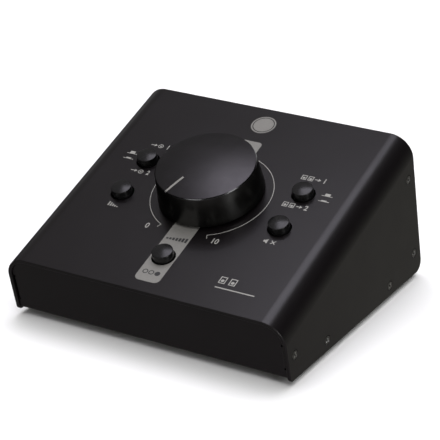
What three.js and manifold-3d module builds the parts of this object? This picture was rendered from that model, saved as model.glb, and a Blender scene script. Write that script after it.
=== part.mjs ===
// Desktop monitor controller: a sloping folded cover over a folded tray, a large
// level knob on a potentiometer, five latching push buttons and eight rear jacks.
// Units are millimetres. X is the width, -Y the front, +Z up.
import * as THREE from 'three';
import { mergeVertices } from 'three/addons/utils/BufferGeometryUtils.js';
import Module from 'manifold-3d';

const wasm = await Module();
wasm.setup();

// Side profile of the case, seen from the right
const CASE_WIDTH = 160;
const BASE_DEPTH = 148.2;
const FRONT_HEIGHT = 33.3;
const FRONT_OVERHANG = 8.7;
const REAR_HEIGHT = 82;
const REAR_SETBACK = 19.6;
const FRONT_CORNER_RADIUS = 3;
const REAR_CORNER_RADIUS = 5.4;

// Sheets, bends and clearances
const COVER_SHEET = 2;
const COVER_BEND_RADIUS = 12.2;
const TRAY_SHEET = 1.2;
const TRAY_BEND_RADIUS = 2;
const TRAY_LIFT = 1.3;
const WALL_RECESS = 1;
const SEAT_GAP = 0.3;
const CUT_OVERRUN = 4;

// Side flanges of the tray, with round relief holes at both ends
const FLANGE_DEPTH = 12;
const FLANGE_BEND_RADIUS = 1.1;
const RELIEF_RADIUS = 0.7;
const FRONT_FLANGE_START = 6;
const FRONT_FLANGE_LENGTH = 14.6;
const BOTTOM_FLANGE_START = 12;
const BOTTOM_FLANGE_END = 18.2;
const REAR_FLANGE_START = 8;
const REAR_FLANGE_LENGTH = 58;

// Countersunk side screws
const SCREW_HEAD_RADIUS = 2.5;
const SCREW_HEAD_HEIGHT = 1.4;
const SCREW_THREAD_RADIUS = 1.3;
const SCREW_LENGTH = 7;
const SCREW_TIP_LENGTH = 1.2;
const RECESS_ARM_WIDTH = 0.6;
const RECESS_ARM_LENGTH = 2.8;
const RECESS_DEPTH = 0.8;
const FRONT_SCREW_INSET = 6.7;
const FRONT_SCREW_RISE = 12.4;
const BOTTOM_SCREW_INSET = 6.2;
const BOTTOM_SCREW_FRONT = 37.3;
const BOTTOM_SCREW_REAR = 40.1;
const REAR_SCREW_INSET = 7.7;
const REAR_SCREW_LOW = 15.3;
const REAR_SCREW_HIGH = 62.6;

// Rubber feet
const FOOT_RADIUS = 6.5;
const FOOT_EDGE = 0.8;
const FOOT_DROP = 3;
const FOOT_SIDE_INSET = 18;
const FOOT_FRONT_INSET = 18;
const FOOT_REAR_INSET = 20;

// Places up the slope, as shares of its length
const KNOB_PLACE_SHARE = 0.5169;
const SELECT_BUTTON_SHARE = 0.6068;
const LOWER_BUTTON_SHARE = 0.4249;
const CENTRE_BUTTON_SHARE = 0.1744;
const BOARD_FRONT_SHARE = 0.0755;
const BOARD_REAR_SHARE = 0.7208;
const RIBBON_SHARE = 0.6247;

// Places across the case, as shares of its width
const BUTTON_SIDE_SHARE = 0.2875;
const BOARD_SIDE_SHARE = 0.35625;
const STANDOFF_SIDE_SHARE = 0.3125;
const JACK_PITCH_SHARE = 0.2125;

// Level knob: a turned shell with a boss for the shaft
const KNOB_BASE_RADIUS = 27.65;
const KNOB_RIM_RADIUS = 26.2;
const KNOB_LIFT = 1.4;
const KNOB_SIDE_HEIGHT = 17;
const KNOB_DOME_RISE = 2.4;
const KNOB_EDGE = 0.5;
const KNOB_WALL = 2.6;
const KNOB_CEILING = 3.4;
const KNOB_BOSS_RADIUS = 8;
const KNOB_SCREW_RADIUS = 1.5;
const KNOB_SCREW_SPAN = 4;
const POINTER_WIDTH = 1.3;
const POINTER_DEPTH = 0.5;
const POINTER_INNER_RADIUS = 13.9;
const POINTER_GAP = 0.1;
const POINTER_TURN_DEGREES = 22.5;

// Potentiometer
const SHAFT_RADIUS = 3;
const SHAFT_GRIP = 9;
const SHAFT_TAIL = 5;
const RUNNING_GAP = 0.1;
const BUSHING_RADIUS = 4.5;
const BUSHING_RISE = 4.4;
const POT_BODY_WIDTH = 17;
const POT_BODY_CORNER = 2;
const NUT_THICKNESS = 2.2;
const POT_NUT_FLATS = 12;

// Control board under the cover
const BOARD_DEPTH_BELOW = 15;
const BOARD_THICKNESS = 1.6;
const BOARD_CORNER = 3;
const STANDOFF_EDGE = 5;
const STANDOFF_RADIUS = 3;
const SNAP_NECK_RADIUS = 1.4;
const SNAP_HEAD_RADIUS = 2.1;
const SNAP_HEAD_HEIGHT = 1.6;

// Push buttons
const BUTTON_HOLE_RADIUS = 6.2;
const CAP_RADIUS = 5.6;
const CAP_RIM_RADIUS = 5.4;
const CAP_RISE = 3.7;
const CAP_DOME_RISE = 1;
const CAP_EDGE = 0.4;
const CAP_SKIRT = 3.4;
const CAP_WALL = 1.1;
const CAP_ROOF = 1.4;
const CAP_BOSS_RADIUS = 3.2;
const CAP_BOSS_REACH = 4.9;
const PLUNGER_WIDTH = 3;
const PLUNGER_GRIP = 3.6;
const PLUNGER_TAIL = 3.2;
const BUTTON_TRAVEL = 2.8;
const SWITCH_WIDTH = 8.2;
const SWITCH_HEIGHT = 8;

// Rear jacks, their nuts and the jack board
const JACK_LOW_ROW = 22;
const JACK_ROW_SPACING = 34;
const JACK_BODY_WIDTH = 16;
const JACK_BODY_HEIGHT = 20;
const JACK_BODY_DEPTH = 24;
const JACK_BUSHING_RADIUS = 4.8;
const JACK_BUSHING_RISE = 3.4;
const JACK_BORE_RADIUS = 3.3;
const JACK_BORE_DEPTH = 20;
const JACK_NUT_FLATS = 13.5;

// Ribbon cable and its connectors
const RIBBON_WIDTH = 20;
const RIBBON_THICKNESS = 1;
const SOCKET_WIDTH = 24;
const SOCKET_THICKNESS = 6;
const SOCKET_HEIGHT = 6;
const HEADER_HEIGHT = 2.5;
const RIBBON_STEPS = 12;
const RIBBON_SWING = 9;

// Facets
const RELIEF_SIDES = 8;
const SMALL_SIDES = 12;
const SOCKET_SIDES = 20;
const ROUND_SIDES = 24;
const KNOB_SIDES = 56;
const BEND_STEPS = 7;
const DOME_STEPS = 4;

// Solids: closed meshes that can be joined and cut
function toSolid(geometry) {
  const bare = geometry.clone();
  bare.deleteAttribute('normal');
  bare.deleteAttribute('uv');
  const merged = mergeVertices(bare);
  const vertProperties = new Float32Array(merged.attributes.position.array);
  const triVerts = new Uint32Array(merged.index.array);
  return new wasm.Manifold(new wasm.Mesh({ numProp: 3, vertProperties, triVerts }));
}

function toGeometry(solid) {
  const mesh = solid.getMesh();
  const geometry = new THREE.BufferGeometry();
  geometry.setAttribute('position', new THREE.BufferAttribute(mesh.vertProperties, mesh.numProp));
  geometry.setIndex(new THREE.BufferAttribute(mesh.triVerts, 1));
  geometry.computeVertexNormals();
  return geometry;
}

function joined(...geometries) {
  return toGeometry(geometries.map(toSolid).reduce((whole, next) => whole.add(next)));
}

function cut(geometry, ...tools) {
  return toGeometry(tools.map(toSolid).reduce((whole, tool) => whole.subtract(tool), toSolid(geometry)));
}

function common(first, second) {
  return toGeometry(toSolid(first).intersect(toSolid(second)));
}

// Basic shapes, all with their axis along Z
function rod(radius, low, high, sides = ROUND_SIDES) {
  const geometry = new THREE.CylinderGeometry(radius, radius, high - low, sides);
  return geometry.rotateX(Math.PI / 2).translate(0, 0, (low + high) / 2);
}

function block(width, length, low, high) {
  return new THREE.BoxGeometry(width, length, high - low).translate(0, 0, (low + high) / 2);
}

function turned(points, sides) {
  const profile = points.map(([radius, height]) => new THREE.Vector2(radius, height));
  return new THREE.LatheGeometry(profile, sides).rotateX(Math.PI / 2);
}

function roundedBlock(width, length, corner, low, high) {
  const halfWidth = width / 2;
  const halfLength = length / 2;
  const outline = new THREE.Shape();
  outline.absarc(halfWidth - corner, halfLength - corner, corner, 0, Math.PI / 2);
  outline.absarc(corner - halfWidth, halfLength - corner, corner, Math.PI / 2, Math.PI);
  outline.absarc(corner - halfWidth, corner - halfLength, corner, Math.PI, Math.PI * 3 / 2);
  outline.absarc(halfWidth - corner, corner - halfLength, corner, Math.PI * 3 / 2, Math.PI * 2);
  return extruded(outline, high - low).translate(0, 0, low);
}

function extruded(outline, depth) {
  return new THREE.ExtrudeGeometry(outline, { depth, bevelEnabled: false, curveSegments: BEND_STEPS });
}

function hexagon(flats, low, high) {
  return rod(flats / Math.sqrt(3), low, high, 6);
}

// Points of a shallow dome from its rim to its crown
function domePoints(rimRadius, rimHeight, rise) {
  const points = [];
  for (let step = 1; step <= DOME_STEPS; step += 1) {
    const radius = rimRadius * (1 - step / DOME_STEPS);
    points.push([radius, domeHeight(radius, rimRadius, rimHeight, rise)]);
  }
  return points;
}

function domeHeight(radius, rimRadius, rimHeight, rise) {
  return rimHeight + rise * (1 - (radius / rimRadius) ** 2);
}

// The side profile: four corners, joined bottom, rear, top and front
const CORNERS = [
  new THREE.Vector2(0, 0),
  new THREE.Vector2(BASE_DEPTH, 0),
  new THREE.Vector2(BASE_DEPTH - REAR_SETBACK, REAR_HEIGHT),
  new THREE.Vector2(-FRONT_OVERHANG, FRONT_HEIGHT),
];

function direction(from, to) {
  return to.clone().sub(from).normalize();
}

function inward(along) {
  return new THREE.Vector2(-along.y, along.x);
}

const BOTTOM_ALONG = direction(CORNERS[0], CORNERS[1]);
const REAR_ALONG = direction(CORNERS[1], CORNERS[2]);
const TOP_ALONG = direction(CORNERS[3], CORNERS[2]);
const FRONT_ALONG = direction(CORNERS[0], CORNERS[3]);
const SLOPE_ANGLE = Math.atan2(TOP_ALONG.y, TOP_ALONG.x);
const REAR_LEAN = Math.atan2(-REAR_ALONG.x, REAR_ALONG.y);

// The profile with each side moved inward by its own distance
function insetProfile(insets) {
  const lines = CORNERS.map((corner, index) => {
    const along = direction(corner, CORNERS[(index + 1) % CORNERS.length]);
    const point = corner.clone().addScaledVector(inward(along), insets[index]);
    return { point, along };
  });
  return lines.map((line, index) => {
    const before = lines[(index + lines.length - 1) % lines.length];
    const reach = line.point.clone().sub(before.point).cross(line.along) / before.along.cross(line.along);
    return before.point.clone().addScaledVector(before.along, reach);
  });
}

// An outline through the corners, with a round of its own at each
function roundedOutline(points, radii) {
  const outline = new THREE.Shape();
  points.forEach((point, index) => {
    const before = direction(points[(index + points.length - 1) % points.length], point);
    const after = direction(point, points[(index + 1) % points.length]);
    const turn = Math.atan2(before.cross(after), before.dot(after));
    const radius = radii[index];
    const start = point.clone().addScaledVector(before, -radius * Math.tan(turn / 2));
    if (index === 0) {
      outline.moveTo(start.x, start.y);
    } else {
      outline.lineTo(start.x, start.y);
    }
    if (radius > 0) {
      const centre = start.clone().addScaledVector(inward(before), radius);
      const firstAngle = Math.atan2(start.y - centre.y, start.x - centre.x);
      outline.absarc(centre.x, centre.y, radius, firstAngle, firstAngle + turn, false);
    }
  });
  return outline;
}

// A prism across the case, its outline drawn in the (y, z) plane
const PROFILE_BASIS = new THREE.Matrix4().makeBasis(
  new THREE.Vector3(0, 1, 0),
  new THREE.Vector3(0, 0, 1),
  new THREE.Vector3(1, 0, 0),
);

function prism(outline, width, middle = 0) {
  return extruded(outline, width).applyMatrix4(PROFILE_BASIS).translate(middle - width / 2, 0, 0);
}

// The deck frame lies on the sloping top: y runs up the slope, z out of the cover
const DECK_MATRIX = new THREE.Matrix4()
  .makeRotationX(SLOPE_ANGLE)
  .setPosition(0, CORNERS[3].x, CORNERS[3].y);
const SLOPE_LENGTH = CORNERS[3].distanceTo(CORNERS[2]);
const LEG_LENGTH = FRONT_HEIGHT + REAR_HEIGHT;
const KNOB_PLACE = SLOPE_LENGTH * KNOB_PLACE_SHARE;
const BOARD_FRONT = SLOPE_LENGTH * BOARD_FRONT_SHARE;
const BOARD_REAR = SLOPE_LENGTH * BOARD_REAR_SHARE;
const RIBBON_PLACE = SLOPE_LENGTH * RIBBON_SHARE;

// A body longer than the slope at both ends, from its section across the case
function alongSlope(section) {
  return extruded(section, SLOPE_LENGTH + FRONT_HEIGHT * 2)
    .rotateX(Math.PI / 2)
    .translate(0, SLOPE_LENGTH + FRONT_HEIGHT, 0)
    .applyMatrix4(DECK_MATRIX);
}

// The section of the space inside the cover, less a gap, open downward
function coreSection(gap) {
  const half = CASE_WIDTH / 2 - COVER_SHEET - gap;
  const radius = COVER_BEND_RADIUS - COVER_SHEET - gap;
  const centre = half - radius;
  const section = new THREE.Shape();
  section.moveTo(-half, -LEG_LENGTH);
  section.lineTo(half, -LEG_LENGTH);
  section.absarc(centre, -COVER_BEND_RADIUS, radius, 0, Math.PI / 2);
  section.absarc(-centre, -COVER_BEND_RADIUS, radius, Math.PI / 2, Math.PI);
  section.closePath();
  return section;
}

// The section of the cover's sheet: up one wall, over the top and down the other
function sheetSection() {
  const half = CASE_WIDTH / 2;
  const centre = half - COVER_BEND_RADIUS;
  const innerRadius = COVER_BEND_RADIUS - COVER_SHEET;
  const section = new THREE.Shape();
  section.moveTo(half - COVER_SHEET, -LEG_LENGTH);
  section.lineTo(half, -LEG_LENGTH);
  section.absarc(centre, -COVER_BEND_RADIUS, COVER_BEND_RADIUS, 0, Math.PI / 2);
  section.absarc(-centre, -COVER_BEND_RADIUS, COVER_BEND_RADIUS, Math.PI / 2, Math.PI);
  section.lineTo(-half, -LEG_LENGTH);
  section.lineTo(COVER_SHEET - half, -LEG_LENGTH);
  section.absarc(-centre, -COVER_BEND_RADIUS, innerRadius, Math.PI, Math.PI / 2, true);
  section.absarc(centre, -COVER_BEND_RADIUS, innerRadius, Math.PI / 2, 0, true);
  section.closePath();
  return section;
}

const TRAY_HALF = CASE_WIDTH / 2 - COVER_SHEET - SEAT_GAP;

// Points in the (y, z) plane measured from an edge of the profile
function fromEdge(corner, along, distance, inset, side) {
  return corner.clone()
    .addScaledVector(along, distance)
    .addScaledVector(inward(along), inset * side);
}

const SCREW_PLACES = [
  fromEdge(CORNERS[0], FRONT_ALONG, FRONT_SCREW_RISE, FRONT_SCREW_INSET, -1),
  fromEdge(CORNERS[0], BOTTOM_ALONG, BOTTOM_SCREW_FRONT, BOTTOM_SCREW_INSET, 1),
  fromEdge(CORNERS[1], BOTTOM_ALONG, -BOTTOM_SCREW_REAR, BOTTOM_SCREW_INSET, 1),
  fromEdge(CORNERS[1], REAR_ALONG, REAR_SCREW_LOW, REAR_SCREW_INSET, 1),
  fromEdge(CORNERS[1], REAR_ALONG, REAR_SCREW_HIGH, REAR_SCREW_INSET, 1),
];

const BUTTON_SIDE = CASE_WIDTH * BUTTON_SIDE_SHARE;
const BUTTONS = [
  { name: 'input', x: -BUTTON_SIDE, y: SLOPE_LENGTH * SELECT_BUTTON_SHARE },
  { name: 'dim', x: -BUTTON_SIDE, y: SLOPE_LENGTH * LOWER_BUTTON_SHARE },
  { name: 'mono', x: 0, y: SLOPE_LENGTH * CENTRE_BUTTON_SHARE },
  { name: 'monitor', x: BUTTON_SIDE, y: SLOPE_LENGTH * SELECT_BUTTON_SHARE },
  { name: 'mute', x: BUTTON_SIDE, y: SLOPE_LENGTH * LOWER_BUTTON_SHARE },
];

// Places a shape made along Z in a side wall, facing outward
function intoSide(geometry, side, place) {
  return geometry.clone()
    .rotateY(side * Math.PI / 2)
    .translate(side * CASE_WIDTH / 2, place.x, place.y);
}

function onDeck(geometry, x, y) {
  return geometry.clone().translate(x, y, 0).applyMatrix4(DECK_MATRIX);
}

// Cover: the folded sheet with its holes and countersinks
function coverGeometry() {
  const profile = insetProfile([0, 0, -CUT_OVERRUN, 0]);
  const outline = roundedOutline(profile, [FRONT_CORNER_RADIUS, REAR_CORNER_RADIUS, 0, 0]);
  const blank = common(alongSlope(sheetSection()), prism(outline, CASE_WIDTH + CUT_OVERRUN));
  const tools = BUTTONS.map(({ x, y }) =>
    onDeck(rod(BUTTON_HOLE_RADIUS, -COVER_SHEET - CUT_OVERRUN, CUT_OVERRUN), x, y));
  const bushingHole = rod(BUSHING_RADIUS + SEAT_GAP, -COVER_SHEET - CUT_OVERRUN, CUT_OVERRUN);
  tools.push(onDeck(bushingHole, 0, KNOB_PLACE));
  const sink = countersink();
  for (const side of [-1, 1]) {
    SCREW_PLACES.forEach((place) => tools.push(intoSide(sink, side, place)));
  }
  return cut(blank, ...tools);
}

function countersink() {
  const mouth = SCREW_HEAD_RADIUS + SEAT_GAP;
  const throat = SCREW_THREAD_RADIUS + SEAT_GAP;
  return turned([
    [0, -COVER_SHEET - CUT_OVERRUN],
    [throat, -COVER_SHEET - CUT_OVERRUN],
    [throat, -SCREW_HEAD_HEIGHT],
    [mouth, 0],
    [mouth, CUT_OVERRUN],
    [0, CUT_OVERRUN],
  ], SMALL_SIDES);
}

// Tray: front wall, bottom and rear wall in one fold, with side flanges
const TRAY_PROFILE = insetProfile([TRAY_LIFT, WALL_RECESS, -CUT_OVERRUN, WALL_RECESS]);
const TRAY_CORE_PROFILE = insetProfile([
  TRAY_LIFT + TRAY_SHEET,
  WALL_RECESS + TRAY_SHEET,
  -CUT_OVERRUN * 2,
  WALL_RECESS + TRAY_SHEET,
]);

const FLANGES = [
  {
    corner: TRAY_PROFILE[0],
    along: FRONT_ALONG,
    side: -1,
    start: FRONT_FLANGE_START,
    length: FRONT_FLANGE_LENGTH,
  },
  {
    corner: TRAY_PROFILE[0],
    along: BOTTOM_ALONG,
    side: 1,
    start: BOTTOM_FLANGE_START,
    length: BASE_DEPTH - BOTTOM_FLANGE_START - BOTTOM_FLANGE_END,
  },
  {
    corner: TRAY_PROFILE[1],
    along: REAR_ALONG,
    side: 1,
    start: REAR_FLANGE_START,
    length: REAR_FLANGE_LENGTH,
  },
];

function chassisGeometry() {
  const outline = roundedOutline(TRAY_PROFILE, [TRAY_BEND_RADIUS, TRAY_BEND_RADIUS, 0, 0]);
  const outer = prism(outline, TRAY_HALF * 2);
  const innerRadius = TRAY_BEND_RADIUS - TRAY_SHEET;
  const coreOutline = roundedOutline(TRAY_CORE_PROFILE, [innerRadius, innerRadius, 0, 0]);
  const inner = prism(coreOutline, CASE_WIDTH + CUT_OVERRUN);
  const folded = common(cut(outer, inner), alongSlope(coreSection(SEAT_GAP)));
  const flanges = [];
  const tools = [];
  for (const side of [-1, 1]) {
    for (const flange of FLANGES) {
      flanges.push(flangeGeometry(flange, side));
      tools.push(bendTool(flange, side));
      tools.push(reliefTool(flange, side, flange.start));
      tools.push(reliefTool(flange, side, flange.start + flange.length));
    }
    SCREW_PLACES.forEach((place) => {
      const hole = rod(SCREW_THREAD_RADIUS + SEAT_GAP, -SCREW_LENGTH - CUT_OVERRUN, 0, SMALL_SIDES);
      tools.push(intoSide(hole, side, place));
    });
  }
  for (const { x, y } of JACK_PLACES) {
    const hole = rod(JACK_BUSHING_RADIUS + SEAT_GAP, -CUT_OVERRUN, CUT_OVERRUN, SOCKET_SIDES);
    tools.push(hole.translate(x, y, 0).applyMatrix4(REAR_MATRIX));
  }
  return cut(joined(folded, ...flanges), ...tools);
}

// One flange: a strip that runs back from the wall's middle along the side
function flangeGeometry({ corner, along, side, start, length }, wallSide) {
  const outline = new THREE.Shape([
    fromEdge(corner, along, start, TRAY_SHEET / 2, side),
    fromEdge(corner, along, start + length, TRAY_SHEET / 2, side),
    fromEdge(corner, along, start + length, FLANGE_DEPTH, side),
    fromEdge(corner, along, start, FLANGE_DEPTH, side),
  ]);
  return prism(outline, TRAY_SHEET, wallSide * (TRAY_HALF - TRAY_SHEET / 2));
}

// The space outside the round bend where a flange leaves its wall
function bendTool({ corner, along, side, start, length }, wallSide) {
  const depth = inward(along).multiplyScalar(side);
  const acrossAxis = new THREE.Vector3(wallSide, 0, 0);
  const depthAxis = new THREE.Vector3(0, depth.x, depth.y);
  const runAxis = new THREE.Vector3().crossVectors(acrossAxis, depthAxis);
  const place = fromEdge(corner, along, start + length / 2, 0, side);
  const basis = new THREE.Matrix4()
    .makeBasis(acrossAxis, depthAxis, runAxis)
    .setPosition(0, place.x, place.y);
  const reach = TRAY_HALF + CUT_OVERRUN;
  const radius = FLANGE_BEND_RADIUS;
  const outline = new THREE.Shape();
  outline.moveTo(reach, -CUT_OVERRUN);
  outline.lineTo(reach, radius);
  outline.lineTo(TRAY_HALF, radius);
  outline.absarc(TRAY_HALF - radius, radius, radius, 0, -Math.PI / 2, true);
  outline.lineTo(TRAY_HALF - radius, -CUT_OVERRUN);
  outline.closePath();
  return extruded(outline, length).translate(0, 0, -length / 2).applyMatrix4(basis);
}

// A round hole through the wall at the end of a flange
function reliefTool({ corner, along, side }, wallSide, distance) {
  const outer = fromEdge(corner, along, distance, -CUT_OVERRUN, side);
  const angle = Math.atan2(along.y, along.x);
  const length = CUT_OVERRUN * 2;
  return new THREE.CylinderGeometry(RELIEF_RADIUS, RELIEF_RADIUS, length, RELIEF_SIDES)
    .translate(0, side * length / 2, 0)
    .rotateZ(angle)
    .applyMatrix4(PROFILE_BASIS)
    .translate(wallSide * (TRAY_HALF - TRAY_SHEET / 2), outer.x, outer.y);
}

// The rear frame lies on the tray's rear wall: y runs up the wall, z out of it
const REAR_MATRIX = new THREE.Matrix4()
  .makeRotationFromEuler(new THREE.Euler(REAR_LEAN - Math.PI / 2, 0, Math.PI))
  .setPosition(0, TRAY_PROFILE[1].x, TRAY_PROFILE[1].y);

const JACK_PITCH = CASE_WIDTH * JACK_PITCH_SHARE;
const JACK_PLACES = [];
['output', 'input'].forEach((rowName, row) => {
  ['1_left', '1_right', '2_left', '2_right'].forEach((columnName, column, columns) => {
    JACK_PLACES.push({
      name: `${rowName}_${columnName}`,
      x: (column - (columns.length - 1) / 2) * JACK_PITCH,
      y: JACK_LOW_ROW + row * JACK_ROW_SPACING,
    });
  });
});
const JACK_SPAN = JACK_PLACES[3].x - JACK_PLACES[0].x;

// Side screw: countersunk head with a cross recess, shank and tip
function screwGeometry() {
  const tip = SCREW_TIP_LENGTH;
  const body = turned([
    [0, -SCREW_LENGTH],
    [SCREW_THREAD_RADIUS / 2, -SCREW_LENGTH],
    [SCREW_THREAD_RADIUS, tip - SCREW_LENGTH],
    [SCREW_THREAD_RADIUS, -SCREW_HEAD_HEIGHT],
    [SCREW_HEAD_RADIUS, 0],
    [0, 0],
  ], SMALL_SIDES);
  const arm = block(RECESS_ARM_WIDTH, RECESS_ARM_LENGTH, -RECESS_DEPTH, CUT_OVERRUN);
  const otherArm = block(RECESS_ARM_LENGTH, RECESS_ARM_WIDTH, -RECESS_DEPTH, CUT_OVERRUN);
  return cut(body, arm, otherArm);
}

// Rubber foot, its top against the tray
function footGeometry() {
  const height = FOOT_DROP + TRAY_LIFT - SEAT_GAP;
  return turned([
    [0, 0],
    [FOOT_RADIUS - FOOT_EDGE, 0],
    [FOOT_RADIUS, FOOT_EDGE],
    [FOOT_RADIUS, height],
    [0, height],
  ], ROUND_SIDES);
}

// Knob: heights are above the cover
const KNOB_RIM_HEIGHT = KNOB_LIFT + KNOB_SIDE_HEIGHT;
const KNOB_ROOF = KNOB_RIM_HEIGHT - KNOB_CEILING;
const SHAFT_TOP = KNOB_ROOF + KNOB_CEILING / 2;
const BOSS_BOTTOM = BUSHING_RISE + SEAT_GAP;
const KNOB_SCREW_HEIGHT = SHAFT_TOP - SHAFT_GRIP / 2 - SEAT_GAP;

function knobOutline() {
  return [
    [KNOB_BASE_RADIUS, KNOB_LIFT],
    [KNOB_RIM_RADIUS, KNOB_RIM_HEIGHT - KNOB_EDGE],
    [KNOB_RIM_RADIUS - KNOB_EDGE, KNOB_RIM_HEIGHT],
    ...domePoints(KNOB_RIM_RADIUS - KNOB_EDGE, KNOB_RIM_HEIGHT, KNOB_DOME_RISE),
  ];
}

// The slot for the pointer follows the dome out to the rim
function pointerTool(gap) {
  const rim = KNOB_RIM_RADIUS - KNOB_EDGE;
  const dome = (radius) => domeHeight(radius, rim, KNOB_RIM_HEIGHT, KNOB_DOME_RISE);
  const floor = (radius) => dome(radius) - POINTER_DEPTH - gap;
  const inner = POINTER_INNER_RADIUS - gap;
  const outer = KNOB_RIM_RADIUS + CUT_OVERRUN;
  const top = KNOB_RIM_HEIGHT + KNOB_DOME_RISE + CUT_OVERRUN;
  const outline = new THREE.Shape([
    new THREE.Vector2(-outer, floor(rim)),
    new THREE.Vector2(-rim, floor(rim)),
    new THREE.Vector2(-inner, floor(inner)),
    new THREE.Vector2(-inner, top),
    new THREE.Vector2(-outer, top),
  ].reverse());
  return prism(outline, POINTER_WIDTH + gap * 2);
}

function knobGeometry() {
  const bore = SHAFT_RADIUS + SEAT_GAP;
  const shell = turned([
    [0, SHAFT_TOP + SEAT_GAP],
    [bore, SHAFT_TOP + SEAT_GAP],
    [bore, BOSS_BOTTOM],
    [KNOB_BOSS_RADIUS, BOSS_BOTTOM],
    [KNOB_BOSS_RADIUS, KNOB_ROOF],
    [KNOB_RIM_RADIUS - KNOB_WALL, KNOB_ROOF],
    [KNOB_BASE_RADIUS - KNOB_WALL, KNOB_LIFT],
    ...knobOutline(),
  ], KNOB_SIDES);
  const screwHole = rod(KNOB_SCREW_RADIUS + SEAT_GAP, 0, KNOB_BASE_RADIUS + CUT_OVERRUN, SMALL_SIDES)
    .rotateX(-Math.PI / 2)
    .translate(0, 0, KNOB_SCREW_HEIGHT);
  return cut(shell, pointerTool(POINTER_GAP), screwHole);
}

function pointerGeometry() {
  const solid = turned([[0, KNOB_LIFT], ...knobOutline()], KNOB_SIDES);
  return common(solid, pointerTool(0));
}

function knobScrewGeometry() {
  const start = SHAFT_RADIUS + SEAT_GAP;
  return rod(KNOB_SCREW_RADIUS, start, start + KNOB_SCREW_SPAN, SMALL_SIDES)
    .rotateX(-Math.PI / 2)
    .translate(0, 0, KNOB_SCREW_HEIGHT);
}

// Potentiometer: heights are above the cover
const POT_TOP = -COVER_SHEET - SEAT_GAP;
const BOARD_TOP = -BOARD_DEPTH_BELOW;
const ON_BOARD = BOARD_TOP + SEAT_GAP;

function potBodyGeometry() {
  const body = roundedBlock(POT_BODY_WIDTH, POT_BODY_WIDTH, POT_BODY_CORNER, ON_BOARD, POT_TOP);
  const bushing = rod(BUSHING_RADIUS, POT_TOP - CUT_OVERRUN, BUSHING_RISE);
  const bore = rod(SHAFT_RADIUS + RUNNING_GAP, POT_TOP - SHAFT_TAIL - SEAT_GAP, BUSHING_RISE + CUT_OVERRUN);
  return cut(joined(body, bushing), bore);
}

function potShaftGeometry() {
  return rod(SHAFT_RADIUS, POT_TOP - SHAFT_TAIL, SHAFT_TOP);
}

function nutGeometry(flats, holeRadius) {
  const nut = hexagon(flats, SEAT_GAP, SEAT_GAP + NUT_THICKNESS);
  return cut(nut, rod(holeRadius + SEAT_GAP, -CUT_OVERRUN, NUT_THICKNESS + CUT_OVERRUN, SOCKET_SIDES));
}

// Button: a hollow cap with a socketed boss, a plunger and a switch body
const CAP_BOSS_BOTTOM = CAP_RISE - CAP_ROOF - CAP_BOSS_REACH;
const PLUNGER_TOP = CAP_BOSS_BOTTOM + PLUNGER_GRIP;
const SWITCH_TOP = ON_BOARD + SWITCH_HEIGHT;
const PLUNGER_BOTTOM = SWITCH_TOP - PLUNGER_TAIL;

function capGeometry() {
  const socketTop = PLUNGER_TOP + SEAT_GAP;
  const cap = turned([
    [0, CAP_RISE - CAP_ROOF],
    [CAP_RADIUS - CAP_WALL, CAP_RISE - CAP_ROOF],
    [CAP_RADIUS - CAP_WALL, CAP_RISE - CAP_SKIRT - COVER_SHEET],
    [CAP_RADIUS, CAP_RISE - CAP_SKIRT - COVER_SHEET],
    [CAP_RIM_RADIUS, CAP_RISE - CAP_EDGE],
    [CAP_RIM_RADIUS - CAP_EDGE, CAP_RISE],
    ...domePoints(CAP_RIM_RADIUS - CAP_EDGE, CAP_RISE, CAP_DOME_RISE),
  ], ROUND_SIDES);
  const boss = rod(CAP_BOSS_RADIUS, CAP_BOSS_BOTTOM, CAP_RISE - CAP_ROOF / 2, SMALL_SIDES);
  const socketWidth = PLUNGER_WIDTH + SEAT_GAP * 2;
  return cut(joined(cap, boss), block(socketWidth, socketWidth, CAP_BOSS_BOTTOM - CUT_OVERRUN, socketTop));
}

function plungerGeometry() {
  return block(PLUNGER_WIDTH, PLUNGER_WIDTH, PLUNGER_BOTTOM, PLUNGER_TOP);
}

function switchGeometry() {
  const well = PLUNGER_WIDTH + SEAT_GAP * 2;
  const body = block(SWITCH_WIDTH, SWITCH_WIDTH, ON_BOARD, SWITCH_TOP);
  return cut(body, block(well, well, PLUNGER_BOTTOM - BUTTON_TRAVEL - SEAT_GAP, SWITCH_TOP + CUT_OVERRUN));
}

// Control board with its ribbon header on the underside
const BOARD_MIDDLE = (BOARD_FRONT + BOARD_REAR) / 2;
const BOARD_HALF = CASE_WIDTH * BOARD_SIDE_SHARE;
const STANDOFF_SIDE = CASE_WIDTH * STANDOFF_SIDE_SHARE;
const BOARD_BOTTOM = BOARD_TOP - BOARD_THICKNESS;
const STANDOFF_PLACES = [-1, 1].flatMap((side) => [
  { x: side * STANDOFF_SIDE, y: BOARD_FRONT + STANDOFF_EDGE },
  { x: side * STANDOFF_SIDE, y: BOARD_REAR - STANDOFF_EDGE },
]);

function headerGeometry(boardBottom) {
  const low = boardBottom - HEADER_HEIGHT;
  return block(SOCKET_WIDTH, SOCKET_THICKNESS, low, boardBottom + BOARD_THICKNESS / 2);
}

function controlBoardGeometry() {
  const length = BOARD_REAR - BOARD_FRONT;
  const plate = roundedBlock(BOARD_HALF * 2, length, BOARD_CORNER, BOARD_BOTTOM, BOARD_TOP)
    .translate(0, BOARD_MIDDLE, 0);
  const header = headerGeometry(BOARD_BOTTOM).translate(0, RIBBON_PLACE, 0);
  const holes = STANDOFF_PLACES.map(({ x, y }) =>
    rod(SNAP_NECK_RADIUS + SEAT_GAP, BOARD_BOTTOM - CUT_OVERRUN, BOARD_TOP + CUT_OVERRUN, SMALL_SIDES)
      .translate(x, y, 0));
  return cut(joined(plate, header), ...holes);
}

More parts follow.
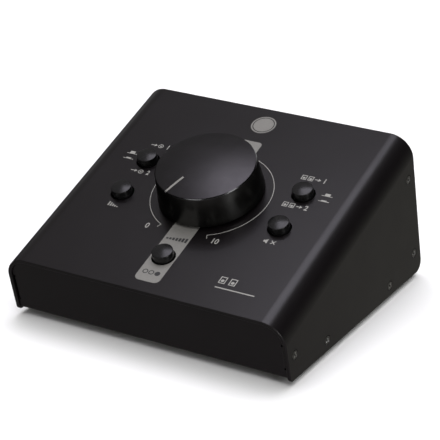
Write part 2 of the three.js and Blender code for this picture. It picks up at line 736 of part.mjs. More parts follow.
function standoffGeometry() {
  const headTop = BOARD_BOTTOM - SEAT_GAP;
  return turned([
    [0, headTop - SNAP_HEAD_HEIGHT],
    [SNAP_NECK_RADIUS, headTop - SNAP_HEAD_HEIGHT],
    [SNAP_HEAD_RADIUS, headTop - SNAP_HEAD_HEIGHT / 4],
    [SNAP_HEAD_RADIUS, headTop],
    [SNAP_NECK_RADIUS, headTop],
    [SNAP_NECK_RADIUS, ON_BOARD],
    [STANDOFF_RADIUS, ON_BOARD],
    [STANDOFF_RADIUS, POT_TOP],
    [0, POT_TOP],
  ], SMALL_SIDES);
}

// Jack: heights are outward from the tray's rear wall
const JACK_FACE = -TRAY_SHEET - SEAT_GAP;
const JACK_BACK = JACK_FACE - JACK_BODY_DEPTH;

function jackGeometry() {
  const body = block(JACK_BODY_WIDTH, JACK_BODY_HEIGHT, JACK_BACK, JACK_FACE);
  const bushing = rod(JACK_BUSHING_RADIUS, JACK_FACE - CUT_OVERRUN, JACK_BUSHING_RISE, SOCKET_SIDES);
  const boreBottom = JACK_BUSHING_RISE - JACK_BORE_DEPTH;
  const bore = rod(JACK_BORE_RADIUS, boreBottom, JACK_BUSHING_RISE + CUT_OVERRUN, SOCKET_SIDES);
  return cut(joined(body, bushing), bore);
}

// Jack board behind the jacks, with its ribbon header facing the front
const JACK_BOARD_TOP = JACK_BACK - SEAT_GAP;
const JACK_BOARD_BOTTOM = JACK_BOARD_TOP - BOARD_THICKNESS;
const JACK_BOARD_MIDDLE = JACK_LOW_ROW + JACK_ROW_SPACING / 2;

function jackBoardGeometry() {
  const width = JACK_SPAN + JACK_BODY_WIDTH;
  const length = JACK_ROW_SPACING + JACK_BODY_HEIGHT;
  const plate = roundedBlock(width, length, BOARD_CORNER, JACK_BOARD_BOTTOM, JACK_BOARD_TOP);
  return joined(plate, headerGeometry(JACK_BOARD_BOTTOM)).translate(0, JACK_BOARD_MIDDLE, 0);
}

// Ribbon cable: two sockets and the strip that swings between them
function ribbonGeometry() {
  const socketTop = -HEADER_HEIGHT - SEAT_GAP;
  const socketLow = socketTop - SOCKET_HEIGHT;
  const socket = (low) => block(SOCKET_WIDTH, SOCKET_THICKNESS, low + socketLow, low + socketTop);
  const deckSocket = socket(BOARD_BOTTOM).translate(0, RIBBON_PLACE, 0).applyMatrix4(DECK_MATRIX);
  const rearSocket = socket(JACK_BOARD_BOTTOM).translate(0, JACK_BOARD_MIDDLE, 0).applyMatrix4(REAR_MATRIX);
  const sunk = SOCKET_HEIGHT / 2;
  const start = new THREE.Vector3(0, RIBBON_PLACE, BOARD_BOTTOM + socketLow + sunk)
    .applyMatrix4(DECK_MATRIX);
  const end = new THREE.Vector3(0, JACK_BOARD_MIDDLE, JACK_BOARD_BOTTOM + socketLow + sunk)
    .applyMatrix4(REAR_MATRIX);
  const leave = new THREE.Vector3(0, 0, -1).transformDirection(DECK_MATRIX);
  const arrive = new THREE.Vector3(0, 0, -1).transformDirection(REAR_MATRIX);
  const pull = sunk + RIBBON_SWING;
  const route = new THREE.CubicBezierCurve3(
    start,
    start.clone().addScaledVector(leave, pull),
    end.clone().addScaledVector(arrive, pull),
    end,
  );
  const upper = [];
  const lower = [];
  for (let step = 0; step <= RIBBON_STEPS; step += 1) {
    const point = route.getPoint(step / RIBBON_STEPS);
    const tangent = route.getTangent(step / RIBBON_STEPS);
    const across = new THREE.Vector2(-tangent.z, tangent.y).multiplyScalar(RIBBON_THICKNESS / 2);
    upper.push(new THREE.Vector2(point.y, point.z).add(across));
    lower.push(new THREE.Vector2(point.y, point.z).sub(across));
  }
  const strip = prism(new THREE.Shape([...lower, ...upper.reverse()]), RIBBON_WIDTH);
  return joined(strip, deckSocket, rearSocket);
}

// Finishes
function finish(color, roughness, metalness) {
  return new THREE.MeshStandardMaterial({ color, roughness, metalness });
}

const FINISHES = {
  cover: [0x343334, 0.42, 0.3],
  tray: [0x1c1b1c, 0.6, 0.2],
  screw: [0x2a2a2a, 0.35, 0.9],
  rubber: [0x141414, 0.9, 0],
  knob: [0x3a3a3c, 0.34, 0.8],
  pointer: [0xc8c6c0, 0.5, 0],
  cap: [0x2a2a2c, 0.32, 0],
  steel: [0x9a9a9c, 0.35, 1],
  brass: [0xb08d4a, 0.35, 1],
  plastic: [0x18181a, 0.5, 0],
  board: [0x14502c, 0.5, 0],
  ribbon: [0x8d9094, 0.6, 0],
};

function named(name, geometry, finishName) {
  const mesh = new THREE.Mesh(geometry, finish(...FINISHES[finishName]));
  mesh.name = name;
  return mesh;
}

// Assembly
const caseGroup = new THREE.Group();
caseGroup.add(named('cover', coverGeometry(), 'cover'));
caseGroup.add(named('chassis', chassisGeometry(), 'tray'));

for (const side of [-1, 1]) {
  const sideName = side < 0 ? 'left' : 'right';
  SCREW_PLACES.forEach((place, index) => {
    const screw = named(`side_screw_${sideName}_${index + 1}`, screwGeometry(), 'screw');
    screw.position.set(side * CASE_WIDTH / 2, place.x, place.y);
    screw.rotation.y = side * Math.PI / 2;
    caseGroup.add(screw);
  });
  const footPlaces = { front: FOOT_FRONT_INSET, rear: BASE_DEPTH - FOOT_REAR_INSET };
  for (const [endName, y] of Object.entries(footPlaces)) {
    const foot = named(`foot_${endName}_${sideName}`, footGeometry(), 'rubber');
    foot.position.set(side * (CASE_WIDTH / 2 - FOOT_SIDE_INSET), y, -FOOT_DROP);
    caseGroup.add(foot);
  }
}

// What sits in and under the sloping top
const deck = new THREE.Group();
deck.position.set(0, CORNERS[3].x, CORNERS[3].y);
deck.rotation.x = SLOPE_ANGLE;
caseGroup.add(deck);

const knobStack = new THREE.Group();
knobStack.position.set(0, KNOB_PLACE, 0);
deck.add(knobStack);
knobStack.add(named('pot_body', potBodyGeometry(), 'steel'));
knobStack.add(named('pot_nut', nutGeometry(POT_NUT_FLATS, BUSHING_RADIUS), 'steel'));

const turning = new THREE.Group();
turning.rotation.z = -THREE.MathUtils.degToRad(POINTER_TURN_DEGREES);
knobStack.add(turning);
turning.add(named('pot_shaft', potShaftGeometry(), 'steel'));
turning.add(named('knob', knobGeometry(), 'knob'));
turning.add(named('knob_pointer', pointerGeometry(), 'pointer'));
turning.add(named('knob_set_screw', knobScrewGeometry(), 'screw'));

for (const { name, x, y } of BUTTONS) {
  const key = new THREE.Group();
  key.position.set(x, y, 0);
  key.add(named(`button_${name}`, capGeometry(), 'cap'));
  key.add(named(`plunger_${name}`, plungerGeometry(), 'plastic'));
  key.add(named(`switch_${name}`, switchGeometry(), 'steel'));
  deck.add(key);
}

deck.add(named('control_board', controlBoardGeometry(), 'board'));
STANDOFF_PLACES.forEach(({ x, y }, index) => {
  const standoff = named(`board_standoff_${index + 1}`, standoffGeometry(), 'brass');
  standoff.position.set(x, y, 0);
  deck.add(standoff);
});

// What sits in and behind the rear wall
const rear = new THREE.Group();
rear.position.set(0, TRAY_PROFILE[1].x, TRAY_PROFILE[1].y);
rear.rotation.set(REAR_LEAN - Math.PI / 2, 0, Math.PI);
caseGroup.add(rear);
JACK_PLACES.forEach(({ name, x, y }) => {
  const jack = named(`jack_${name}`, jackGeometry(), 'plastic');
  const nut = named(`jack_nut_${name}`, nutGeometry(JACK_NUT_FLATS, JACK_BUSHING_RADIUS), 'steel');
  jack.position.set(x, y, 0);
  nut.position.set(x, y, 0);
  rear.add(jack, nut);
});
rear.add(named('jack_board', jackBoardGeometry(), 'board'));
caseGroup.add(named('ribbon_cable', ribbonGeometry(), 'ribbon'));

// The origin is under the middle of the object, on the plane that the feet stand on
const model = new THREE.Group();
model.add(caseGroup);
model.updateMatrixWorld(true);
const extent = new THREE.Box3().setFromObject(caseGroup, true);
const middle = extent.getCenter(new THREE.Vector3());
caseGroup.position.set(0, -middle.y, -extent.min.z);
model.updateMatrixWorld(true);

export default model;
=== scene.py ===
import math

import bmesh
import bpy
from mathutils import Matrix, Vector


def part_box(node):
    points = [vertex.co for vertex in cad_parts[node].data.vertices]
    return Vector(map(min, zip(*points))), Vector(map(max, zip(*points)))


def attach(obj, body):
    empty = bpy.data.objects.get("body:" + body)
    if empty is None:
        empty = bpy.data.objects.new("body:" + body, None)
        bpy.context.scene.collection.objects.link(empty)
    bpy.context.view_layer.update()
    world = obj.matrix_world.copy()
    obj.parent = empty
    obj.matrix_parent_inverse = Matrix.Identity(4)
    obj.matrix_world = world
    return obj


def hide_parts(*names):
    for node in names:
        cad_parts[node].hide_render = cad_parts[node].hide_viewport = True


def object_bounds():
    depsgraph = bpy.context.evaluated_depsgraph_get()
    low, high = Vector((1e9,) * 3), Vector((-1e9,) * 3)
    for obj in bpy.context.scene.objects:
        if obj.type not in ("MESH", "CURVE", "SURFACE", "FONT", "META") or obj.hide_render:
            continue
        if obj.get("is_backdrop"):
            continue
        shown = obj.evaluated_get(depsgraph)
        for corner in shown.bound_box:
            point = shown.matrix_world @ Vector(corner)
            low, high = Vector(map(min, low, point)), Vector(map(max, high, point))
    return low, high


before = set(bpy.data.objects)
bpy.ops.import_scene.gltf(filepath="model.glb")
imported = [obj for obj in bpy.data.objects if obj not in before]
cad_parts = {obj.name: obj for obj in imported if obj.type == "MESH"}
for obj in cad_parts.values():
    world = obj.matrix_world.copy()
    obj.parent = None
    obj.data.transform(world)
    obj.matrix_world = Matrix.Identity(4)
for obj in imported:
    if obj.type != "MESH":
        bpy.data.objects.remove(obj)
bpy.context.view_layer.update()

MM = 0.001

# Case, in millimetres, like every size and place up to the camera
WIDTH = 160.0
BASE_DEPTH = 148.2
FRONT_HEIGHT = 33.3
FRONT_OVERHANG = 8.7
REAR_HEIGHT = 82.0
REAR_SETBACK = 19.6
SHEET = 2.0
BEND = 12.2
FRONT_ROUND = 3.0
REAR_ROUND = 5.4
WALL_RECESS = 1.0
TRAY_SHEET = 1.2
TRAY_LIFT = 1.3

# Deck features: x across, s up the slope from the front edge of the top
KNOB_S = 75.3
KNOB_HOLE = 4.8
BUTTON_HOLE = 6.2
BUTTONS = {
    "input": (-46.0, 88.4),
    "dim": (-46.0, 61.9),
    "mono": (0.0, 25.4),
    "monitor": (46.0, 88.4),
    "mute": (46.0, 61.9),
}

# Cutting tools run past what they cut
RUN_PAST = 30.0
CUT_PAST = 5.0
HOLE_DEPTH = 10.0
TINY = 1e-6

cover_corner = Vector(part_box("cover")[0])
Y_SHIFT = cover_corner.y / MM + FRONT_OVERHANG
Z_SHIFT = cover_corner.z / MM
FRONT_FOOT = Vector((0.0, 0.0))
REAR_FOOT = Vector((BASE_DEPTH, 0.0))
REAR_TOP = Vector((BASE_DEPTH - REAR_SETBACK, REAR_HEIGHT))
FRONT_TOP = Vector((-FRONT_OVERHANG, FRONT_HEIGHT))
BOTTOM_RUN = Vector((1.0, 0.0))
FRONT_RUN = (FRONT_TOP - FRONT_FOOT).normalized()
REAR_RUN = (REAR_TOP - REAR_FOOT).normalized()
SLOPE = (REAR_TOP - FRONT_TOP).normalized()
SLOPE_LENGTH = (REAR_TOP - FRONT_TOP).length


# Frames
def placed(x_axis, y_axis, z_axis, origin):
    """A matrix from millimetres in a local frame to metres in the row frame."""
    rotation = Matrix((x_axis, y_axis, z_axis)).transposed().to_4x4()
    return Matrix.Translation(origin * MM) @ rotation @ Matrix.Scale(MM, 4)


CASE = Matrix.Translation(Vector((0, Y_SHIFT, Z_SHIFT)) * MM) @ Matrix.Scale(MM, 4)
DECK = placed(
    Vector((1, 0, 0)),
    Vector((0, SLOPE.x, SLOPE.y)),
    Vector((0, -SLOPE.y, SLOPE.x)),
    Vector((0, FRONT_TOP.x + Y_SHIFT, FRONT_TOP.y + Z_SHIFT)),
)

# The rear frame lies on the tray's rear wall: y up the wall, z out of it
rear_foot = BASE_DEPTH - (WALL_RECESS - TRAY_LIFT * REAR_RUN.x) / REAR_RUN.y
REAR = placed(
    Vector((-1, 0, 0)),
    Vector((0, REAR_RUN.x, REAR_RUN.y)),
    Vector((0, REAR_RUN.y, -REAR_RUN.x)),
    Vector((0, rear_foot + Y_SHIFT, TRAY_LIFT + Z_SHIFT)),
)


def deck_matrix(x, s):
    return DECK @ Matrix.Translation((x, s, 0))


def side_matrix(side, place):
    """The frame of a side screw: Z out of the side wall."""
    move = Matrix.Translation((side * WIDTH / 2, place.x, place.y))
    return CASE @ move @ Matrix.Rotation(side * math.pi / 2, 4, "Y")


# Outlines
def circle(x, y, radius, steps=48):
    angles = [2 * math.pi * k / steps for k in range(steps)]
    return [(x + radius * math.cos(a), y + radius * math.sin(a)) for a in angles]


def bar(x0, y0, x1, y1):
    return [(x0, y0), (x1, y0), (x1, y1), (x0, y1)]


def rounded(points, radii, steps=5):
    """The profile with a small round at each point that has a radius."""
    out = []
    for i, (point, radius) in enumerate(zip(points, radii)):
        p = Vector(point)
        if not radius or i in (0, len(points) - 1):
            out.append(tuple(p))
            continue
        a = (Vector(points[i - 1]) - p).normalized()
        b = (Vector(points[i + 1]) - p).normalized()
        half = math.acos(max(-1.0, min(1.0, a.dot(b)))) / 2
        reach = radius / math.tan(half)
        centre = p + (a + b).normalized() * (radius / math.sin(half))
        start = p + a * reach - centre
        end = p + b * reach - centre
        turn = start.angle_signed(end)
        for k in range(steps + 1):
            c, s = math.cos(-turn * k / steps), math.sin(-turn * k / steps)
            x = centre.x + start.x * c - start.y * s
            y = centre.y + start.x * s + start.y * c
            out.append((x, y))
    return out


# Meshes
def new_object(name, data, materials=()):
    obj = bpy.data.objects.new(name, data)
    bpy.context.scene.collection.objects.link(obj)
    for material in materials:
        data.materials.append(material)
    return obj


def mesh_from(name, verts, faces, matrix=None):
    mesh = bpy.data.meshes.new(name)
    mesh.from_pydata([tuple(v) for v in verts], [], faces)
    if matrix is not None:
        mesh.transform(matrix)
    fix_normals(mesh)
    return mesh


def fix_normals(mesh):
    work = bmesh.new()
    work.from_mesh(mesh)
    bmesh.ops.recalc_face_normals(work, faces=work.faces)
    work.to_mesh(mesh)
    work.free()
    mesh.update()


def lathe_mesh(name, points, sides, matrix=None, closed=False):
    """Turns (radius, height) points about Z. Points on the axis become one vertex."""
    verts = []
    rings = []
    for radius, height in points:
        if radius < TINY:
            rings.append([len(verts)])
            verts.append((0.0, 0.0, height))
        else:
            rings.append(list(range(len(verts), len(verts) + sides)))
            verts += [(x, y, height) for x, y in circle(0.0, 0.0, radius, sides)]
    faces = []
    pairs = list(zip(rings, rings[1:]))
    if closed:
        pairs.append((rings[-1], rings[0]))
    for one, two in pairs:
        if len(one) == 1 and len(two) == 1:
            continue
        for k in range(sides):
            j = (k + 1) % sides
            if len(one) == 1:
                faces.append((one[0], two[k], two[j]))
            elif len(two) == 1:
                faces.append((one[k], two[0], one[j]))
            else:
                faces.append((one[k], two[k], two[j], one[j]))
    return mesh_from(name, verts, faces, matrix)


def rod_mesh(radius, low, high, sides, matrix):
    return lathe_mesh("rod", [(0, low), (radius, low), (radius, high), (0, high)], sides, matrix)


def prism_mesh(name, outline, low, high, matrix=None):
    """A prism over a closed outline in the local XY plane."""
    n = len(outline)
    verts = [(x, y, low) for x, y in outline] + [(x, y, high) for x, y in outline]
    faces = [tuple(reversed(range(n))), tuple(range(n, 2 * n))]
    faces += [(k, (k + 1) % n, n + (k + 1) % n, n + k) for k in range(n)]
    return mesh_from(name, verts, faces, matrix)


def moved(mesh, matrix):
    mesh = mesh.copy()
    mesh.transform(matrix)
    return mesh


def soften(mesh, angle):
    """Smooth shading, with edges over the angle kept sharp."""
    mesh.shade_smooth()
    mesh.set_sharp_from_angle(angle=math.radians(angle))
    return mesh


def evaluated(obj):
    """The object's final mesh. The object itself is removed."""
    bpy.context.view_layer.update()
    graph = bpy.context.evaluated_depsgraph_get()
    mesh = bpy.data.meshes.new_from_object(obj.evaluated_get(graph))
    bpy.data.objects.remove(obj)
    return mesh


def carve(mesh, tools, operation="DIFFERENCE"):
    """The mesh after one exact boolean with all the tool meshes."""
    group = bpy.data.collections.new("carve_tools")
    bpy.context.scene.collection.children.link(group)
    made = [bpy.data.objects.new("carve_tool", tool) for tool in tools]
    for obj in made:
        group.objects.link(obj)
    body = new_object("carve_body", mesh)
    modifier = body.modifiers.new("carve", "BOOLEAN")
    modifier.operation = operation
    modifier.solver = "EXACT"
    modifier.operand_type = "COLLECTION"
    modifier.collection = group
    result = evaluated(body)
    for obj in made:
        bpy.data.objects.remove(obj)
    bpy.data.collections.remove(group)
    return result


def bevelled(mesh, width, segments):
    """The mesh with its sharp edges broken by a small round."""
    body = new_object("bevel_body", mesh)
    modifier = body.modifiers.new("bevel", "BEVEL")
    modifier.width = width * MM
    modifier.segments = segments
    modifier.limit_method = "ANGLE"
    modifier.angle_limit = math.radians(35.0)
    modifier.use_clamp_overlap = True
    modifier.harden_normals = False
    return soften(evaluated(body), 40.0)


def weighted(obj):
    """Shading that follows the large faces and leaves the rounds to the edges."""
    modifier = obj.modifiers.new("weighted", "WEIGHTED_NORMAL")
    modifier.mode = "FACE_AREA"
    modifier.weight = 60
    modifier.keep_sharp = True


def cleaned(node):
    """A copy of a CAD node's mesh with its flat faces made whole again."""
    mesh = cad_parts[node].data.copy()
    mesh.materials.clear()
    work = bmesh.new()
    work.from_mesh(mesh)
    bmesh.ops.remove_doubles(work, verts=work.verts, dist=TINY)
    flat = math.radians(1.0)
    bmesh.ops.dissolve_limit(work, angle_limit=flat, verts=work.verts, edges=work.edges)
    bmesh.ops.recalc_face_normals(work, faces=work.faces)
    work.to_mesh(mesh)
    work.free()
    for attribute in ("custom_normal", "sharp_face", "sharp_edge"):
        if attribute in mesh.attributes:
            mesh.attributes.remove(mesh.attributes[attribute])
    mesh.update()
    return mesh


def joined(meshes):
    work = bmesh.new()
    for mesh in meshes:
        work.from_mesh(mesh)
    whole = bpy.data.meshes.new("joined")
    work.to_mesh(whole)
    work.free()
    return whole


def piece(name, mesh, materials, body, replaced=()):
    obj = new_object(name, mesh, materials)
    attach(obj, body)
    if replaced:
        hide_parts(*replaced)
    return obj


# Materials: spans of a noise, and the roughness of its own detail
MIDDLE = (0.35, 0.65)
MOST = (0.3, 0.7)
SOFT = 0.5
HARD = 0.6


def scaled(color, factor, lift=0.0):
    return tuple(min(1.0, c * factor + lift) for c in color)


class Nodes:
    """A small helper that wires shader nodes by name."""

    def __init__(self, name):
        self.material = bpy.data.materials.new(name)
        self.material.use_nodes = True
        self.tree = self.material.node_tree
        self.tree.nodes.clear()
        out = self.add("ShaderNodeOutputMaterial")
        self.shader = self.add("ShaderNodeBsdfPrincipled")
        self.link(self.shader.outputs[0], out.inputs["Surface"])
        self.coords = self.add("ShaderNodeTexCoord").outputs["Object"]

    def add(self, kind, **values):
        node = self.tree.nodes.new(kind)
        for key, value in values.items():
            setattr(node, key, value)
        return node

    def link(self, source, target):
        self.tree.links.new(source, target)

    def noise(self, scale, detail, roughness):
        node = self.add("ShaderNodeTexNoise")
        node.inputs["Scale"].default_value = scale
        node.inputs["Detail"].default_value = detail
        node.inputs["Roughness"].default_value = roughness
        self.link(self.coords, node.inputs["Vector"])
        return node.outputs["Fac"]

    def ranged(self, source, span, to=(0.0, 1.0)):
        """One span of the source mapped to another, and held at its ends."""
        node = self.add("ShaderNodeMapRange")
        for end, before, after in zip(("Min", "Max"), span, to):
            node.inputs[f"From {end}"].default_value = before
            node.inputs[f"To {end}"].default_value = after
        self.link(source, node.inputs["Value"])
        return node.outputs["Result"]

    def combine(self, operation, one, two):
        node = self.add("ShaderNodeMath", operation=operation)
        for slot, value in enumerate((one, two)):
            if isinstance(value, (int, float)):
                node.inputs[slot].default_value = value
            else:
                self.link(value, node.inputs[slot])
        return node.outputs[0]

    def mix(self, factor, one, two):
        node = self.add("ShaderNodeMix", data_type="RGBA")
        self.link(factor, node.inputs["Factor"])
        for key, value in (("A", one), ("B", two)):
            target = [s for s in node.inputs if s.name == key and s.type == "RGBA"][0]
            if isinstance(value, tuple):
                target.default_value = (*value, 1.0)
            else:
                self.link(value, target)
        return [s for s in node.outputs if s.type == "RGBA"][0]

    def edges(self, radius):
        """Near 1 on rounded edges and 0 on flat faces."""
        bevel = self.add("ShaderNodeBevel", samples=6)
        bevel.inputs["Radius"].default_value = radius
        geometry = self.add("ShaderNodeNewGeometry")
        dot = self.add("ShaderNodeVectorMath", operation="DOT_PRODUCT")
        self.link(bevel.outputs[0], dot.inputs[0])
        self.link(geometry.outputs["Normal"], dot.inputs[1])
        return self.ranged(dot.outputs["Value"], (0.985, 0.86))

    def cloudy(self, scale, detail, color, share):
        """The colour, drifting by a share of itself to both sides."""
        cloud = self.ranged(self.noise(scale, detail, HARD), MIDDLE)
        return self.mix(cloud, scaled(color, 1 - share), scaled(color, 1 + share))

    def color(self, value):
        self.link(value, self.shader.inputs["Base Color"])

    def roughness(self, value):
        self.link(value, self.shader.inputs["Roughness"])

    def uneven(self, scale, base, drift):
        """Roughness that drifts about its base value."""
        change = self.ranged(self.noise(scale, 3.0, HARD), MOST, drift)
        self.roughness(self.combine("ADD", change, base))

    def bumpy(self, height, strength, distance):
        node = self.add("ShaderNodeBump")
        node.inputs["Strength"].default_value = strength
        node.inputs["Distance"].default_value = distance
        self.link(height, node.inputs["Height"])
        self.link(node.outputs["Normal"], self.shader.inputs["Normal"])


def powder_coat(name, color, roughness, bump):
    n = Nodes(name)
    grain = 2600.0
    tint = n.cloudy(18.0, 4.0, color, 0.1)
    speck = n.ranged(n.noise(grain * 1.7, 1.0, SOFT), (0.62, 0.74), (0.0, 0.35))
    tint = n.mix(speck, tint, scaled(color, 1.7))
    # Rounded edges made lighter in patches: partly rubbed wear, partly a painted highlight along
    # the edges
    patchy_wear_and_sheen = n.ranged(n.noise(420.0, 3.0, HARD), (0.42, 0.7), (0.15, 0.35))
    edge_wear_and_sheen = n.combine("MULTIPLY", n.edges(0.5 * MM), patchy_wear_and_sheen)
    n.color(n.mix(edge_wear_and_sheen, tint, scaled(color, 3.2, 0.01)))
    n.uneven(60.0, roughness, (-0.005, 0.03))
    n.bumpy(n.noise(grain, 2.0, SOFT), bump, 0.06 * MM)
    return n.material


def print_ink(name, color):
    n = Nodes(name)
    cloud = n.ranged(n.noise(900.0, 3.0, HARD), MIDDLE)
    n.color(n.mix(cloud, scaled(color, 0.93), color))
    n.roughness(n.ranged(n.noise(2400.0, 2.0, SOFT), MOST, (0.42, 0.55)))
    n.bumpy(n.noise(2600.0, 2.0, SOFT), 0.12, 0.05 * MM)
    return n.material


def satin_metal(name, color, roughness, bump=0.12, rim=1.0):
    n = Nodes(name)
    n.shader.inputs["Metallic"].default_value = 1.0
    n.shader.inputs["Specular Tint"].default_value = (rim, rim, rim, 1.0)
    n.color(n.cloudy(70.0, 4.0, color, 0.08))
    n.uneven(260.0, roughness, (-0.02, 0.03))
    n.bumpy(n.noise(5200.0, 2.0, HARD), bump, 0.04 * MM)
    return n.material


def moulded(name, color, roughness, grain=3400.0, bump=0.15):
    n = Nodes(name)
    tint = n.cloudy(240.0, 3.0, color, 0.1)
    # Rounded edges made lighter in patches: partly rubbed wear, partly a painted highlight along
    # the edges
    patchy_wear_and_sheen = n.ranged(n.noise(900.0, 2.0, SOFT), (0.4, 0.7), (0.1, 0.2))
    edge_wear_and_sheen = n.combine("MULTIPLY", n.edges(0.3 * MM), patchy_wear_and_sheen)
    n.color(n.mix(edge_wear_and_sheen, tint, scaled(color, 2.5, 0.01)))
    n.uneven(600.0, roughness, (-0.015, 0.03))
    n.bumpy(n.noise(grain, 2.0, HARD), bump, 0.05 * MM)
    return n.material


def board_laminate(name):
    n = Nodes(name)
    tracks = n.add("ShaderNodeTexVoronoi", distance="MANHATTAN", feature="F1")
    tracks.inputs["Scale"].default_value = 170.0
    n.link(n.coords, tracks.inputs["Vector"])
    line = n.ranged(tracks.outputs["Distance"], (0.42, 0.5))
    n.color(n.mix(line, (0.012, 0.075, 0.03), (0.03, 0.16, 0.06)))
    n.roughness(n.ranged(n.noise(300.0, 2.0, SOFT), MOST, (0.32, 0.45)))
    n.bumpy(line, 0.3, 0.04 * MM)
    return n.material


COAT = powder_coat("case_coat", (0.0037, 0.0028, 0.0032), 0.285, bump=0.07)
INK = print_ink("print_ink", (0.27, 0.265, 0.25))
STRIPE_INK = print_ink("stripe_ink", (0.175, 0.17, 0.16))
DARK_INK = print_ink("dark_ink", (0.02, 0.02, 0.021))
KNOB = satin_metal("knob_anodised", (0.067, 0.065, 0.067), 0.34)
KNOB_SIDE = satin_metal("knob_turned_side", (0.092, 0.092, 0.09), 0.3, bump=0.03, rim=0.35)
KNOB_EDGE = satin_metal("knob_edge", (0.13, 0.13, 0.135), 0.17, bump=0.05)
POINTER = moulded("pointer_insert", (0.19, 0.184, 0.174), 0.45)
CAP = moulded("cap_plastic", (0.005, 0.005, 0.0052), 0.24, bump=0.03)
BLACK = moulded("black_plastic", (0.012, 0.012, 0.0125), 0.4)
SCREW = satin_metal("screw_black", (0.19, 0.19, 0.187), 0.2, bump=0.03)
STEEL = satin_metal("nickel", (0.55, 0.54, 0.52), 0.31)
RUBBER = moulded("foot_rubber", (0.012, 0.012, 0.012), 0.8, grain=1800.0, bump=0.4)
NYLON = moulded("nylon", (0.62, 0.6, 0.53), 0.45)
BOARD = board_laminate("board_laminate")
RIBBON = moulded("ribbon_grey", (0.3, 0.31, 0.33), 0.5)
CONTACT = satin_metal("contact_metal", (0.62, 0.5, 0.3), 0.3)

# Side screws, counted from the front: distance along an edge of the wall, and inset from it
SCREW_HOLE = 1.6
SINK_DEPTH = 1.4
SINK_RADIUS = 2.8


def from_edge(corner, along, distance, inset):
    """A place beside an edge. A negative inset lies to the right of its direction."""
    return corner + along * distance + Vector((-along.y, along.x)) * inset


SCREWS = [
    from_edge(FRONT_FOOT, FRONT_RUN, 12.4, -6.7),
    from_edge(FRONT_FOOT, BOTTOM_RUN, 37.3, 6.2),
    from_edge(FRONT_FOOT, BOTTOM_RUN, BASE_DEPTH - 40.1, 6.2),
    from_edge(REAR_FOOT, REAR_RUN, 15.3, 7.7),
    from_edge(REAR_FOOT, REAR_RUN, 62.6, 7.7),
]


# Cover: a bent sheet along the slope, cut to the side profile, with holes and countersinks
def bend_points(radius, start, end, side, steps=18):
    centre = WIDTH / 2 - BEND
    points = []
    for k in range(steps + 1):
        a = math.radians(start + (end - start) * k / steps)
        points.append((side * centre + radius * math.cos(a), -BEND + radius * math.sin(a)))
    return points


def sheet_outline():
    half = WIDTH / 2
    leg = FRONT_HEIGHT + REAR_HEIGHT
    inside = BEND - SHEET
    return (
        [(half - SHEET, -leg), (half, -leg)]
        + bend_points(BEND, 0, 90, 1)
        + bend_points(BEND, 90, 180, -1)
        + [(-half, -leg), (SHEET - half, -leg)]
        + bend_points(inside, 180, 90, -1)
        + bend_points(inside, 90, 0, 1)
    )


def profile_outline():
    """The side profile, drawn past the top so that it cuts only three sides."""
    points = [
        tuple(FRONT_TOP + FRONT_RUN * RUN_PAST),
        tuple(FRONT_FOOT),
        tuple(REAR_FOOT),
        tuple(REAR_TOP + REAR_RUN * RUN_PAST),
    ]
    return rounded(points, [0, FRONT_ROUND, REAR_ROUND, 0], 8)


def sink_mesh(side, place):
    """A clearance hole with its countersink."""
    points = [
        (0, -HOLE_DEPTH),
        (SCREW_HOLE, -HOLE_DEPTH),
        (SCREW_HOLE, -SINK_DEPTH),
        (SINK_RADIUS, 0.0),
        (SINK_RADIUS, CUT_PAST),
        (0, CUT_PAST),
    ]
    return lathe_mesh("sink", points, 40, side_matrix(side, place))


def cover_mesh():
    run = SLOPE_LENGTH + 2 * RUN_PAST
    along = DECK @ Matrix.Translation((0, run - RUN_PAST, 0)) @ Matrix.Rotation(math.pi / 2, 4, "X")
    blank = prism_mesh("cover_blank", sheet_outline(), 0, run, along)
    across = CASE @ Matrix(((0, 0, 1, 0), (1, 0, 0, 0), (0, 1, 0, 0), (0, 0, 0, 1)))
    reach = WIDTH / 2 + CUT_PAST
    keep = prism_mesh("cover_profile", profile_outline(), -reach, reach, across)
    blank = bevelled(carve(blank, [keep], "INTERSECT"), 0.45, 3)
    tools = [
        rod_mesh(BUTTON_HOLE, -HOLE_DEPTH, CUT_PAST, 72, deck_matrix(x, s))
        for x, s in BUTTONS.values()
    ]
    tools.append(rod_mesh(KNOB_HOLE, -HOLE_DEPTH, CUT_PAST, 48, deck_matrix(0, KNOB_S)))
    tools += [sink_mesh(side, place) for side in (-1, 1) for place in SCREWS]
    return bevelled(carve(blank, tools), 0.12, 1)


weighted(piece("cover_shell", cover_mesh(), [COAT], "housing", ["cover"]))

# Tray: the frame's own solid with its edges broken
tray_shape = bevelled(cleaned("chassis"), 0.12, 2)
weighted(piece("tray_shell", tray_shape, [COAT], "housing", ["chassis"]))

# Knob: heights are above the deck
RIM_R = 26.2
RIM_H = 18.4
BASE_R = 27.65
LIFT = 1.4
CHAMFER = 0.5
CREST = RIM_R - CHAMFER
SIDE_TOP = RIM_H - CHAMFER
DOME = 2.4
CROWN_STEPS = 24
KNOB_SIDES = 224
KNOB_WALL = 2.6
KNOB_CEILING = 3.4
KNOB_ROOF = RIM_H - KNOB_CEILING
BORE = 3.3
BORE_TOP = 17.0
BOSS = 8.0
BOSS_BOTTOM = 4.7
SET_SCREW_HOLE = 1.8
SET_SCREW_H = 11.9
SET_SCREW_REACH = 32.0
POINTER_HALF = 0.65
POINTER_INNER = 13.9
POINTER_DEPTH = 0.5
POINTER_GAP = 0.1
POINTER_DROP = 0.02
POINTER_STEPS = 8
POINTER_TURN = math.radians(22.5)
KNOB_PLACE = deck_matrix(0, KNOB_S)
POINTER_PLACE = KNOB_PLACE @ Matrix.Rotation(-POINTER_TURN, 4, "Z")


def dome(radius):
    return RIM_H + DOME * (1 - (radius / CREST) ** 2)


